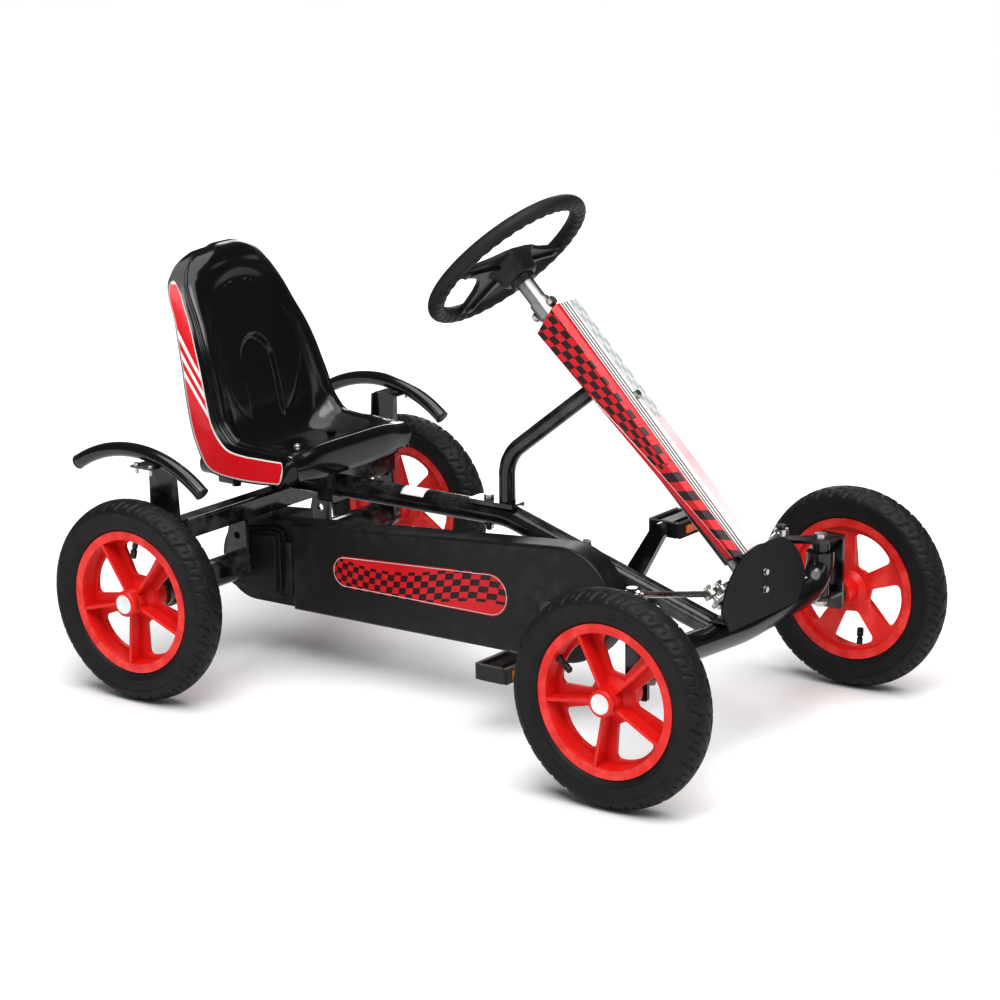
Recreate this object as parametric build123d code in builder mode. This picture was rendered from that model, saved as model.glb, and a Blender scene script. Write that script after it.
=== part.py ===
"""Pedal go kart: a bent tube frame on four spoked wheels, driven by pedals through a chain.

All sizes are in millimetres. The kart drives towards -Y, +Z is up and the origin is on the
ground midway between the axles, so the kart's left side is +X and its right side is -X.
"""
import os
from math import acos, atan2, cos, degrees, hypot, pi, radians, sin, sqrt

from build123d import *

os.makedirs("parts", exist_ok=True)

SIDES = {"left": 1, "right": -1}

# wheels: 12 1/2 x 2 1/4 pneumatic tyres on moulded five-spoke rims
WHEEL_R = 156
AXLE_Y = 430.3
FRONT_HALF_TRACK = 328
REAR_HALF_TRACK = 334
RIM_R = 110
RIM_HALF_W = 19
BEAD_R = 103.2
CROWN_HALF = 17             # the tread's crown is an arc of this half width and drop
CROWN_DROP = 4.5
SPOKES = 5
# spoke direction of each wheel at rest, degrees from +Z towards the rear
SPOKE_PHASE = {"front_left": 6, "front_right": 26, "rear_left": 20, "rear_right": 33}
WEB_OUT = -6                # outboard face of the spoke web, from the tyre's centre plane
WEB = 6
FIN = 5
HUB_R = 20
HUB_OUT = 20
FRONT_HUB_IN = 47
REAR_HUB_IN = 42
BEARING_R = 14
BEARING_W = 10
RUN = 0.05                  # radial running clearance of every shaft in its hole

# main frame tube
TUBE_R = 18
TUBE_WALL = 2.5
TUBE_Z = 281
TUBE_REAR_Y = 578
TUBE_BEND_Y = -22
TUBE_FRONT = (-418, 158)
TOW_BORE_R = 15.8
TOW_BORE_L = 60

# front beam, upturned at both ends, and the kingpins in its ends
BEAM_R = 21
BEAM_Y = -432
BEAM_Z = 172
KINGPIN_X = 228
KINGPIN_Y = -AXLE_Y
KINGPIN_R = 6
SLEEVE_R = 14
SLEEVE_TOP = 248.4
SLEEVE_LOW = 166

# steering column: the axis leans back 45 degrees through the centre of the steering wheel
STEER_C = (0, -24.5, 671)
STEER_TILT = 45
GRIP_MAJOR = 128
GRIP_R = 12.5
SHAFT_R = 13.5
COLUMN_R = 17
SHAFT_END = 592
PITMAN_ARM = 58
ROD_SPREAD = 15
ARM_IN = 28                 # knuckle arm end, inward and rearward of the kingpin
ARM_BACK = 52
PITMAN_STUD_R = 3.5
EYE_BORE = 8.2              # the tie rods' inner eyes hang loose on the pitman arm's studs
EYE_R = 12
STUD_R = 5                  # stud on the knuckle's arm that carries the tie rod's outer eye
STUD_TOP = 270
ROD_EYE_Z = 263

# cranks and pedals
CRANK_Y = -176
CRANK_Z = 182
CRANK_LEN = 95
CRANK_ANGLE = 31            # left crank at rest, degrees forward from straight up
CHAIN_X = -62
PITCH = 12.7
RING_TEETH = 30
SPROCKET_TEETH = 16
AXLE_R = 8.5

# chain case
CASE_OUT = -86
CASE_IN = -42
CASE_REC = -72
CASE_HUB = 14
CASE_STEP_Y = 333
CASE_HUB_Y = 372
CASE_SEAM_Z = 186
CASE_WALL = 2.4
CASE_FRONT = (-178, 186, 88)
CASE_REAR = (420, 160, 66)

# rear cross beam and axle housing
CROSS_Y = 425
CROSS_SIZE = 32
CROSS_HALF = 274
HOUSING_R = 22.5
HOUSING_END = 285
HANGER_X = 103
END_PLATE_X = 266


def save(piece, name):
    """Label a finished sub-part and write it as its own STEP file."""
    piece.part.label = name
    export_step(piece.part, f"parts/{name}.step")


def yz(x):
    """Side-view plane at x: local x is +Y and local y is +Z, seen along +X."""
    return Plane(origin=(x, 0, 0), x_dir=(0, 1, 0), z_dir=(1, 0, 0))


def flat(z):
    """Horizontal plane at height z."""
    return Plane.XY.offset(z)


def turning(centre, side):
    """Profile plane of a turned piece: local x is the radius, local y runs outboard."""
    return Plane(origin=centre, x_dir=(0, 1, 0), z_dir=(0, 0, -side))


def facing(centre, side):
    """Plane across a wheel's axis: local x is +Y and the normal runs outboard."""
    return Plane(origin=centre, x_dir=(0, 1, 0), z_dir=(side, 0, 0))


def outboard(centre, side):
    return Axis(centre, (side, 0, 0))


def column(down):
    """Plane across the steering axis, the distance down being measured from the wheel centre."""
    lean = radians(STEER_TILT)
    axis = (0, sin(lean), cos(lean))
    return Plane(origin=STEER_C, x_dir=(1, 0, 0), z_dir=axis).offset(-down)


def turned(points, centre, side):
    """Ring turned about the line through centre along X from (radius, outboard) points."""
    with BuildSketch(turning(centre, side)) as section:
        with BuildLine():
            Polyline(*points, close=True)
        make_face()
    revolve(section.sketch, axis=outboard(centre, side), revolution_arc=360)


def rod(start, end, radius, mode=Mode.ADD):
    """Round bar between two points."""
    line = Vector(*end) - Vector(*start)
    with BuildSketch(Plane(origin=start, z_dir=line)) as section:
        Circle(radius)
    extrude(section.sketch, amount=line.length, mode=mode)


def hexagon(centre, direction, across, height):
    """Hexagon head or nut standing on centre towards direction."""
    with BuildSketch(Plane(origin=centre, z_dir=direction)) as section:
        RegularPolygon(across / 2, 6, major_radius=False)
    extrude(section.sketch, amount=height)


def screw(seat, tip, radius, across, washer=1.5):
    """Hexagon screw: its head sits on seat over a washer and its shank ends at tip."""
    seat = Vector(*seat)
    line = (Vector(*tip) - seat).normalized()
    under_head = tuple(seat - line * washer)
    rod(under_head, tip, radius)
    rod(under_head, tuple(seat), across * 0.62)
    hexagon(under_head, tuple(line * -1), across, radius * 1.3)


def bolt(start, end, radius, across=13, nut=6, washer=1.5):
    """Through bolt: its head sits on start and its nut on end, each on a washer."""
    low = Vector(*end)
    line = (low - Vector(*start)).normalized()
    screw(start, tuple(low + line * (washer + nut + 2.5)), radius, across, washer)
    rod(end, tuple(low + line * washer), across * 0.62)
    hexagon(tuple(low + line * washer), tuple(line), across, nut)


# ---------------------------------------------------------------- wheels

def make_tyre(centre, side):
    crown_r = (CROWN_HALF ** 2 + CROWN_DROP ** 2) / (2 * CROWN_DROP)
    with BuildPart() as tyre:
        with BuildSketch(turning(centre, side)):
            with BuildLine():
                Polyline((BEAD_R + 0.1, 0), (BEAD_R + 0.1, 16.2), (RIM_R + 0.6, 16.2))
                ThreePointArc((RIM_R + 0.6, 16.2), (124, 26.6), (141, 27))
                ThreePointArc((141, 27), (148, 23.5), (WHEEL_R - CROWN_DROP, CROWN_HALF))
                crown_mid = WHEEL_R - crown_r + sqrt(crown_r ** 2 - CROWN_HALF ** 2 / 4)
                ThreePointArc((WHEEL_R - CROWN_DROP, CROWN_HALF), (crown_mid, CROWN_HALF / 2),
                              (WHEEL_R, 0))
                mirror(about=Plane.XZ)
            make_face()
            with BuildLine():
                Polyline((BEAD_R - 5, 0), (BEAD_R - 5, 10.5), (112.5, 11.5))
                ThreePointArc((112.5, 11.5), (124, 22), (137, 22.5))
                ThreePointArc((137, 22.5), (147, 15.5), (151, 0))
                mirror(about=Plane.XZ)
            make_face(mode=Mode.SUBTRACT)
        revolve(axis=outboard(centre, side), revolution_arc=360)
    return tyre


def spoke_plane(centre, side, phase):
    """Plane of one spoke: local x runs out along the spoke and local y runs outboard."""
    angle = radians(phase)
    normal = (0, side * cos(angle), -side * sin(angle))
    return Plane(origin=centre, x_dir=(0, sin(angle), cos(angle)), z_dir=normal)


def window_outline():
    """One rounded triangular opening between two spokes, pointing at the hub."""
    with BuildSketch() as window:
        with BuildLine():
            ThreePointArc((79, -36), (90, 0), (79, 36))
            Polyline((79, 36), (36, 11), (36, -11), (79, -36))
        make_face()
        fillet(window.vertices(), 8)
    return window.sketch


def make_rim(centre, side, phase, hub_in, bore, bearings):
    first = degrees(atan2(side * cos(radians(phase)), sin(radians(phase))))
    opening = window_outline()
    with BuildPart() as rim:
        edge = RIM_HALF_W
        bed = edge - 2.6
        turned(
            [(BEAD_R, -bed), (BEAD_R, bed), (RIM_R, bed), (RIM_R, edge), (97, edge), (94, WEB_OUT),
             (97, -edge), (RIM_R, -edge), (RIM_R, -bed)],
            centre, side)
        turned([(16, WEB_OUT - WEB), (16, WEB_OUT), (96, WEB_OUT), (96, WEB_OUT - WEB)], centre, side)
        with BuildSketch(facing(centre, side).offset(-20)):
            with PolarLocations(0, SPOKES, start_angle=first + 180 / SPOKES):
                add(opening)
        extrude(amount=40, mode=Mode.SUBTRACT)
        for turn in range(SPOKES):
            with BuildSketch(spoke_plane(centre, side, phase + turn * 360 / SPOKES)):
                with BuildLine():
                    Polyline((15, WEB_OUT - 2), (15, HUB_OUT - 4), (96.5, edge - 1), (96.5, WEB_OUT - 2),
                             close=True)
                make_face()
            extrude(amount=FIN / 2, both=True)
        turned([(bore, -hub_in), (HUB_R, -hub_in), (HUB_R, HUB_OUT), (bore, HUB_OUT)], centre, side)
        turned([(HUB_R - 1, WEB_OUT - 14), (32, WEB_OUT - 3), (32, WEB_OUT - 1), (HUB_R - 1, WEB_OUT + 8)],
               centre, side)
        with BuildSketch(facing(centre, side).offset(-hub_in - 1)):
            Circle(bore)
        extrude(amount=hub_in + HUB_OUT + 2, mode=Mode.SUBTRACT)
        if bearings:
            for start in (-hub_in, HUB_OUT - BEARING_W):
                with BuildSketch(facing(centre, side).offset(start)):
                    Circle(BEARING_R)
                extrude(amount=BEARING_W, mode=Mode.SUBTRACT)
    return rim


def make_bearings(centre, side, hub_in, shaft):
    with BuildPart() as pair:
        for start in (-hub_in, HUB_OUT - BEARING_W):
            with BuildSketch(facing(centre, side).offset(start)):
                Circle(BEARING_R)
                Circle(shaft + RUN, mode=Mode.SUBTRACT)
            extrude(amount=BEARING_W)
    return pair


def make_hub_cap(centre, side, height):
    with BuildPart() as cap:
        turned(
            [(0, height), (15, height), (18, height - 1.5), (HUB_R, height - 4), (HUB_R, HUB_OUT + 0.1),
             (16.5, HUB_OUT + 0.1), (15.5, height - 3), (0, height - 3)],
            centre, side)
    return cap


CAP_HEIGHT = {"front": 30, "rear": 33}
for place, side in SIDES.items():
    for end in ("front", "rear"):
        name = f"{end}_{place}"
        front = end == "front"
        half_track = FRONT_HALF_TRACK if front else REAR_HALF_TRACK
        centre = (side * half_track, -AXLE_Y if front else AXLE_Y, WHEEL_R)
        driven = name == "rear_right"
        hub_in = FRONT_HUB_IN if front else REAR_HUB_IN
        bore = AXLE_R if driven else 10.5
        save(make_tyre(centre, side), f"tyre_{name}")
        save(make_rim(centre, side, SPOKE_PHASE[name], hub_in, bore, not driven), f"rim_{name}")
        save(make_hub_cap(centre, side, CAP_HEIGHT[end]), f"hub_cap_{name}")
        if not driven:
            shaft = 8 if front else AXLE_R
            save(make_bearings(centre, side, hub_in, shaft), f"wheel_bearings_{name}")

# ---------------------------------------------------------------- frame

FOOT_BOLT_Y = 14
FOOT_TOP = 302
SLOPE_BOLT_Y = -158
PLATE_Y = -470
PLATE_SCREW_Z = (238, 264)
FLANGE_SCREW_X = 50
COVER_SCREW_DOWN = 286      # along the steering axis
COVER_RISE = 37.2           # from the steering axis up to the cover's ridge
STRAP_FOOT_X = 254
STRAP_Y = 427
HANGING_BOLT = (-29, 415)
slope = (TUBE_Z - TUBE_FRONT[1]) / (TUBE_BEND_Y - TUBE_FRONT[0])
slope_len = hypot(1, slope)


def slope_z(y):
    """Height of the main tube's centre line on its sloping front stretch."""
    return TUBE_Z - (TUBE_BEND_Y - y) * slope


def slope_bolt(rise):
    """Point on the slope bolt, measured square to the tube from its centre line."""
    return (0, SLOPE_BOLT_Y - rise * slope / slope_len, slope_z(SLOPE_BOLT_Y) + rise / slope_len)


def cover_screw(rise):
    """Point on the cover's screw, measured square to the steering axis."""
    return tuple(column(COVER_SCREW_DOWN).from_local_coords((0, -rise, 0)))


with BuildPart() as main_tube:
    with BuildLine(Plane.YZ) as tube_path:
        FilletPolyline((TUBE_REAR_Y, TUBE_Z), (TUBE_BEND_Y, TUBE_Z), TUBE_FRONT, radius=110)
    with BuildSketch(Plane(origin=(0, TUBE_REAR_Y, TUBE_Z), z_dir=(0, -1, 0))):
        Circle(TUBE_R)
        Circle(TUBE_R - TUBE_WALL, mode=Mode.SUBTRACT)
    sweep(path=tube_path.wire())
    rod((0, TUBE_REAR_Y - TOW_BORE_L, TUBE_Z), (0, TUBE_REAR_Y + 1, TUBE_Z), TOW_BORE_R, Mode.SUBTRACT)
    rod((-60, BEAM_Y, BEAM_Z), (60, BEAM_Y, BEAM_Z), BEAM_R + 0.7, Mode.SUBTRACT)
    rod((0, FOOT_BOLT_Y, TUBE_Z - 40), (0, FOOT_BOLT_Y, TUBE_Z + 40), 4.2, Mode.SUBTRACT)
    rod(slope_bolt(30), slope_bolt(-30), 4.2, Mode.SUBTRACT)
save(main_tube, "main_tube")

with BuildPart() as front_beam:
    with BuildLine() as beam_path:
        FilletPolyline(
            (-KINGPIN_X, KINGPIN_Y, 232), (-KINGPIN_X, KINGPIN_Y, 184), (0, BEAM_Y, BEAM_Z),
            (KINGPIN_X, KINGPIN_Y, 184), (KINGPIN_X, KINGPIN_Y, 232), radius=[46, 400, 46])
    with BuildSketch(Plane(origin=(-KINGPIN_X, KINGPIN_Y, 232), z_dir=(0, 0, -1))):
        Circle(BEAM_R)
        Circle(BEAM_R - 3, mode=Mode.SUBTRACT)
    sweep(path=beam_path.wire())
    for side in SIDES.values():
        foot = side * KINGPIN_X
        rod((foot, KINGPIN_Y, 150), (foot, KINGPIN_Y, 240), SLEEVE_R, Mode.SUBTRACT)
        hole = side * FLANGE_SCREW_X
        rod((hole, BEAM_Y, BEAM_Z), (hole, BEAM_Y, BEAM_Z + 40), 3.2, Mode.SUBTRACT)
save(front_beam, "front_beam")

with BuildPart() as kingpin_sleeves:
    for side in SIDES.values():
        with BuildSketch(Plane(origin=(side * KINGPIN_X, KINGPIN_Y, SLEEVE_LOW))):
            Circle(SLEEVE_R)
            Circle(KINGPIN_R + RUN, mode=Mode.SUBTRACT)
        extrude(amount=SLEEVE_TOP - SLEEVE_LOW)
        with BuildSketch(Plane(origin=(side * KINGPIN_X, KINGPIN_Y, 232))):
            Circle(BEAM_R)
            Circle(SLEEVE_R - 1, mode=Mode.SUBTRACT)
        extrude(amount=3)
save(kingpin_sleeves, "kingpin_sleeves")

COLUMN_TOP = 205
COLUMN_LOW = 560
with BuildPart() as column_tube:
    with BuildSketch(column(COLUMN_LOW)):
        Circle(COLUMN_R)
        Circle(COLUMN_R - 1.5, mode=Mode.SUBTRACT)
    extrude(amount=COLUMN_LOW - COLUMN_TOP)
    with BuildSketch(yz(-14)):
        with BuildLine():
            Polyline((-454, 192), (-449, 192), (-465.7, 215), (-465.7, 276), (-434, 283.5),
                     (-416, 301.5), (-419, 305), (-436, 289), (-469.7, 281), (-469.7, 214), close=True)
        make_face()
    extrude(amount=28)
    rod((-60, BEAM_Y, BEAM_Z), (60, BEAM_Y, BEAM_Z), BEAM_R + 0.7, Mode.SUBTRACT)
    with BuildSketch(column(COLUMN_LOW + 5)):
        Circle(COLUMN_R - 1.5)
    extrude(amount=60, mode=Mode.SUBTRACT)
    rod(cover_screw(40), cover_screw(8), 3.2, Mode.SUBTRACT)
    for z in PLATE_SCREW_Z:
        rod((0, PLATE_Y - 10, z), (0, PLATE_Y + 20, z), 3.2, Mode.SUBTRACT)
save(column_tube, "column_tube")

with BuildPart() as column_bushes:
    for down in (COLUMN_TOP + 30, COLUMN_LOW):
        with BuildSketch(column(down)):
            Circle(COLUMN_R - 1.5)
            Circle(SHAFT_R + RUN, mode=Mode.SUBTRACT)
        extrude(amount=30)
save(column_bushes, "column_bushes")

SUPPORT_R = 12.5
with BuildPart() as column_support:
    with BuildLine(Plane.YZ) as support_path:
        FilletPolyline((-20, 301), (-20, 372), (-186, 500), radius=60)
    with BuildSketch(flat(301)):
        with Locations((0, -20)):
            Circle(SUPPORT_R)
            Circle(SUPPORT_R - 2, mode=Mode.SUBTRACT)
    sweep(path=support_path.wire())
    with BuildSketch(column(COLUMN_LOW)):
        Circle(COLUMN_R)
    extrude(amount=COLUMN_LOW - COLUMN_TOP, mode=Mode.SUBTRACT)
    with BuildSketch(flat(TUBE_Z)):
        with Locations((0, 0)):
            RectangleRounded(34, 84, 6)
    extrude(amount=FOOT_TOP - TUBE_Z)
    rod((0, -60, TUBE_Z), (0, 60, TUBE_Z), TUBE_R, Mode.SUBTRACT)
    with BuildSketch(flat(TUBE_Z - 2)):
        Rectangle(60, 120)
    extrude(amount=16, mode=Mode.SUBTRACT)
    rod((0, FOOT_BOLT_Y, TUBE_Z), (0, FOOT_BOLT_Y, TUBE_Z + 40), 4.2, Mode.SUBTRACT)
save(column_support, "column_support")

COVER_HALF = 33
COVER_BEVEL = 8
COVER_SHEET = 2


def cover_block(inset, stretch):
    """Tapered bar over the column; inset shrinks it and stretch lengthens its open faces."""
    with BuildPart() as block:
        with BuildSketch(yz(-COVER_HALF + inset)):
            with BuildLine():
                Polyline(
                    (-101 + stretch, 574 - stretch * 2), (-131 + stretch, 620 + stretch - inset * 1.4),
                    (-450 - stretch, 291 - stretch - inset * 1.4), (-428 - stretch, 283 - stretch * 3),
                    close=True)
            make_face()
        extrude(amount=2 * (COVER_HALF - inset))
        ridge = block.edges().filter_by(lambda e: e.length > 300).sort_by(Axis.Z)[-2:]
        chamfer(ridge, COVER_BEVEL)
    return block.part


with BuildPart() as column_cover:
    add(cover_block(0, 0))
    add(cover_block(COVER_SHEET, 12), mode=Mode.SUBTRACT)
    rod(cover_screw(60), cover_screw(20), 3.2, Mode.SUBTRACT)
save(column_cover, "column_cover")

PLATE_HALF = 114
with BuildPart() as number_plate:
    with BuildSketch(Plane(origin=(0, PLATE_Y, 0), x_dir=(1, 0, 0), z_dir=(0, -1, 0))):
        with BuildLine():
            Polyline((-PLATE_HALF, 231), (-92, 197), (92, 197), (PLATE_HALF, 231))
            ThreePointArc((PLATE_HALF, 231), (74, 290), (0, 306))
            ThreePointArc((0, 306), (-74, 290), (-PLATE_HALF, 231))
        make_face()
    extrude(amount=2)
    for side in SIDES.values():
        with BuildSketch(flat(197.3)):
            with Locations((side * FLANGE_SCREW_X, (PLATE_Y + BEAM_Y + 8) / 2)):
                Rectangle(44, BEAM_Y + 8 - PLATE_Y)
        extrude(amount=2)
        hole = side * FLANGE_SCREW_X
        rod((hole, BEAM_Y, 190), (hole, BEAM_Y, 210), 3.2, Mode.SUBTRACT)
    for z in PLATE_SCREW_Z:
        rod((0, PLATE_Y - 10, z), (0, PLATE_Y + 10, z), 3.2, Mode.SUBTRACT)
save(number_plate, "number_plate")

CROSS_TOP = TUBE_Z - TUBE_R
CROSS_LOW = CROSS_TOP - CROSS_SIZE
with BuildPart() as rear_cross_beam:
    with BuildSketch(yz(-CROSS_HALF)):
        with Locations((CROSS_Y, CROSS_TOP - CROSS_SIZE / 2)):
            RectangleRounded(CROSS_SIZE, CROSS_SIZE, 4)
            RectangleRounded(CROSS_SIZE - 5, CROSS_SIZE - 5, 2, mode=Mode.SUBTRACT)
    extrude(amount=2 * CROSS_HALF)
    for x in (-STRAP_FOOT_X, STRAP_FOOT_X):
        rod((x, CROSS_Y, 200), (x, CROSS_Y, 300), 3.2, Mode.SUBTRACT)
    rod((*HANGING_BOLT, 200), (*HANGING_BOLT, CROSS_LOW + 10), 3.2, Mode.SUBTRACT)
save(rear_cross_beam, "rear_cross_beam")

with BuildPart() as axle_hangers:
    for x, half in ((-HANGER_X, 22), (HANGER_X, 22), (-END_PLATE_X, 26), (END_PLATE_X, 26)):
        with BuildSketch(yz(x - 3)):
            with BuildLine():
                Polyline((CROSS_Y - 16, CROSS_LOW), (CROSS_Y + 16, CROSS_LOW), (AXLE_Y + half, 180),
                         (AXLE_Y + half, WHEEL_R), (AXLE_Y - half, WHEEL_R), (AXLE_Y - half, 180),
                         close=True)
            make_face()
            if half > 25:
                with Locations((AXLE_Y, WHEEL_R)):
                    Circle(half)
            with Locations((AXLE_Y, WHEEL_R)):
                Circle(HOUSING_R, mode=Mode.SUBTRACT)
            with Locations((AXLE_Y - 3, 205)):
                Circle(6, mode=Mode.SUBTRACT)
        extrude(amount=6)
save(axle_hangers, "axle_hangers")

with BuildPart() as axle_housing:
    for start, end in ((-HOUSING_END, CASE_REC + 4), (CASE_HUB - 3, HOUSING_END)):
        with BuildSketch(yz(start)):
            with Locations((AXLE_Y, WHEEL_R)):
                Circle(HOUSING_R)
                Circle(HOUSING_R - 2.5, mode=Mode.SUBTRACT)
        extrude(amount=end - start)
save(axle_housing, "axle_housing")

with BuildPart() as axle_bearings:
    for start in (-HOUSING_END, HOUSING_END - 16):
        with BuildSketch(yz(start)):
            with Locations((AXLE_Y, WHEEL_R)):
                Circle(HOUSING_R - 2.5)
                Circle(AXLE_R + RUN, mode=Mode.SUBTRACT)
        extrude(amount=16)
save(axle_bearings, "axle_bearings")

# fenders: bent tubes over the rear wheels, on straps that stand on the cross beam's ends
FENDER_X = 297
FENDER_R = 11
FENDER_ARC = ((327, 328), (462, 377), (576, 343.5))


def fender_bar(side, *radii):
    """Bent bar over one rear wheel: solid for one radius, a tube for two."""
    with BuildPart() as bar:
        with BuildLine(yz(side * FENDER_X)) as path:
            ThreePointArc(*FENDER_ARC)
        with BuildSketch(Plane(origin=path.line @ 0, z_dir=path.line % 0)):
            Circle(radii[0])
            for inner in radii[1:]:
                Circle(inner, mode=Mode.SUBTRACT)
        sweep(path=path.wire())
    return bar.part


with BuildPart() as fender_tubes:
    for side in SIDES.values():
        add(fender_bar(side, FENDER_R, FENDER_R - 1.5))
save(fender_tubes, "fender_tubes")

STRAP_X = 274
STRAP_TOP = 359.5
STRAP_HALF = 23
STRAP_SHEET = 3
PAD_SCREWS = ((313, STRAP_Y - 14), (313, STRAP_Y + 14))
with BuildPart() as fender_straps:
    for side in SIDES.values():
        across = Plane(origin=(0, STRAP_Y, 0), x_dir=(side, 0, 0), z_dir=(0, -side, 0))
        with BuildSketch(across):
            with BuildLine():
                Polyline((STRAP_X - 30, CROSS_TOP), (STRAP_X + STRAP_SHEET, CROSS_TOP),
                         (STRAP_X + STRAP_SHEET, STRAP_TOP - STRAP_SHEET),
                         (318, STRAP_TOP - STRAP_SHEET), (318, STRAP_TOP), (STRAP_X, STRAP_TOP),
                         (STRAP_X, CROSS_TOP + STRAP_SHEET), (STRAP_X - 30, CROSS_TOP + STRAP_SHEET),
                         close=True)
            make_face()
        extrude(amount=STRAP_HALF, both=True)
        for offset in (-STRAP_HALF, STRAP_HALF - STRAP_SHEET):
            with BuildSketch(across.offset(offset)):
                with BuildLine():
                    Polyline((STRAP_X - 14, CROSS_TOP + 1), (STRAP_X + 1, CROSS_TOP + 1),
                             (STRAP_X + 1, STRAP_TOP - 1), (STRAP_X - 7, STRAP_TOP - 1), close=True)
                make_face()
            extrude(amount=STRAP_SHEET)
        add(fender_bar(side, FENDER_R), mode=Mode.SUBTRACT)
        foot = side * STRAP_FOOT_X
        rod((foot, CROSS_Y, 255), (foot, CROSS_Y, 275), 3.2, Mode.SUBTRACT)
        for x, y in PAD_SCREWS:
            rod((side * x, y, 350), (side * x, y, 365), 2.7, Mode.SUBTRACT)
save(fender_straps, "fender_straps")

# ---------------------------------------------------------------- chain case


def case_outline(grow):
    """Side outline of the chain case: a big round end at the cranks, a small one at the axle."""
    with BuildSketch() as outline:
        for y, z, radius in (CASE_FRONT, CASE_REAR):
            with Locations((y, z)):
                Circle(radius + grow)
        make_hull()
    return outline.sketch


def case_block(x_from, x_to, y_from, y_to, grow):
    """Stretch of the case's outline between two stations, as one solid."""
    with BuildPart() as block:
        with BuildSketch(yz(x_from)):
            add(case_outline(grow))
            with Locations(((y_from + y_to) / 2, 180)):
                Rectangle(y_to - y_from, 300, mode=Mode.INTERSECT)
        extrude(amount=x_to - x_from)
    return block.part


with BuildPart() as case_solid:
    add(case_block(CASE_OUT, CASE_IN, -300, CASE_STEP_Y, 0))
    rim_edges = case_solid.edges().filter_by(lambda e: abs(e.center().X - CASE_OUT) < 0.01)
    fillet(rim_edges, 5)
    add(case_block(CASE_REC, CASE_IN, CASE_STEP_Y - 20, 500, 0))
    add(case_block(CASE_IN - 10, CASE_HUB, CASE_HUB_Y, 500, 0))
    with Locations((CASE_REC + 1, CASE_STEP_Y + 15, 158)):
        Cylinder(11, 84)

with BuildPart() as case_cavity:
    wall = CASE_WALL
    add(case_block(CASE_OUT + 3.4, CASE_IN - wall, -300, CASE_STEP_Y - wall, -wall))
    add(case_block(CASE_REC + wall, CASE_IN - wall, CASE_STEP_Y - 20, 500, -wall))
    add(case_block(CASE_IN - 10, CASE_HUB - wall, CASE_HUB_Y + wall, 500, -wall))
    rod((-120, AXLE_Y, WHEEL_R), (60, AXLE_Y, WHEEL_R), HOUSING_R + 0.3)
    with BuildSketch(yz(-120)):
        with Locations((AXLE_Y, (WHEEL_R + CASE_SEAM_Z) / 2)):
            Rectangle(2 * HOUSING_R + 0.6, CASE_SEAM_Z - WHEEL_R)
    extrude(amount=180)
    rod((-120, CRANK_Y, CRANK_Z), (60, CRANK_Y, CRANK_Z), 12)

BADGE_REAR = (227, 172, 25)
BADGE_FRONT = (-48, 181, 33)


def badge_outline(grow):
    with BuildSketch() as outline:
        for y, z, radius in (BADGE_REAR, BADGE_FRONT):
            with Locations((y, z)):
                Circle(radius + grow)
        make_hull()
    return outline.sketch


for half, keep in (("upper", Keep.TOP), ("lower", Keep.BOTTOM)):
    with BuildPart() as chain_case:
        add(case_solid.part)
        add(case_cavity.part, mode=Mode.SUBTRACT)
        with BuildSketch(yz(CASE_OUT - 1)):
            add(badge_outline(0.4))
        extrude(amount=2.2, mode=Mode.SUBTRACT)
        rod((*HANGING_BOLT, 210), (*HANGING_BOLT, CROSS_LOW), 3.2, Mode.SUBTRACT)
        split(bisect_by=flat(CASE_SEAM_Z), keep=keep)
    save(chain_case, f"chain_case_{half}")

with BuildPart() as chain_case_badge:
    with BuildSketch(yz(CASE_OUT + 0.2)):
        add(badge_outline(0))
    extrude(amount=1)
save(chain_case_badge, "chain_case_badge")

# ---------------------------------------------------------------- drive

with BuildPart() as bottom_bracket_shell:
    with BuildSketch(yz(-34)):
        with Locations((CRANK_Y, CRANK_Z)):
            Circle(20)
    extrude(amount=68)
    with BuildSketch(yz(-10)):
        with BuildLine():
            Polyline((CRANK_Y - 26, 186), (CRANK_Y + 26, 186), (CRANK_Y + 34, 245), (CRANK_Y - 34, 225),
                     close=True)
        make_face()
    extrude(amount=20)
    rod((0, -280, slope_z(-280)), (0, -90, slope_z(-90)), TUBE_R, Mode.SUBTRACT)
    with BuildSketch(flat(235)):
        with Locations((0, CRANK_Y)):
            Rectangle(60, 120)
    extrude(amount=60, mode=Mode.SUBTRACT)
    rod((-60, CRANK_Y, CRANK_Z), (60, CRANK_Y, CRANK_Z), 17, Mode.SUBTRACT)
    rod(slope_bolt(0), slope_bolt(-35), 4.2, Mode.SUBTRACT)
save(bottom_bracket_shell, "bottom_bracket_shell")

with BuildPart() as bottom_bracket_cups:
    for side in SIDES.values():
        turned([(8 + RUN, 22), (17, 22), (17, 34), (19, 34), (19, 38), (8 + RUN, 38)],
               (0, CRANK_Y, CRANK_Z), side)
save(bottom_bracket_cups, "bottom_bracket_cups")


def pitch_radius(teeth):
    return PITCH / (2 * sin(pi / teeth))


CRANK_C = (CRANK_Y, CRANK_Z)
AXLE_C = (AXLE_Y, WHEEL_R)
chain_run = hypot(AXLE_Y - CRANK_Y, WHEEL_R - CRANK_Z)
chain_lean = atan2(WHEEL_R - CRANK_Z, AXLE_Y - CRANK_Y)
tangent = acos((pitch_radius(RING_TEETH) - pitch_radius(SPROCKET_TEETH)) / chain_run)
# where the chain's wrap starts on each sprocket and how far it turns, in side view
RING_WRAP = (CRANK_C, RING_TEETH, chain_lean + tangent, 2 * pi - 2 * tangent)
SPROCKET_WRAP = (AXLE_C, SPROCKET_TEETH, chain_lean - tangent, 2 * tangent)


def roller_seats(centre, teeth, start, turn):
    """Angles of the wrapped roller seats, even about the middle of the wrap."""
    step = 2 * pi / teeth
    return [start + (turn % step) / 2 + step * n for n in range(int(turn / step) + 1)]


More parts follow.
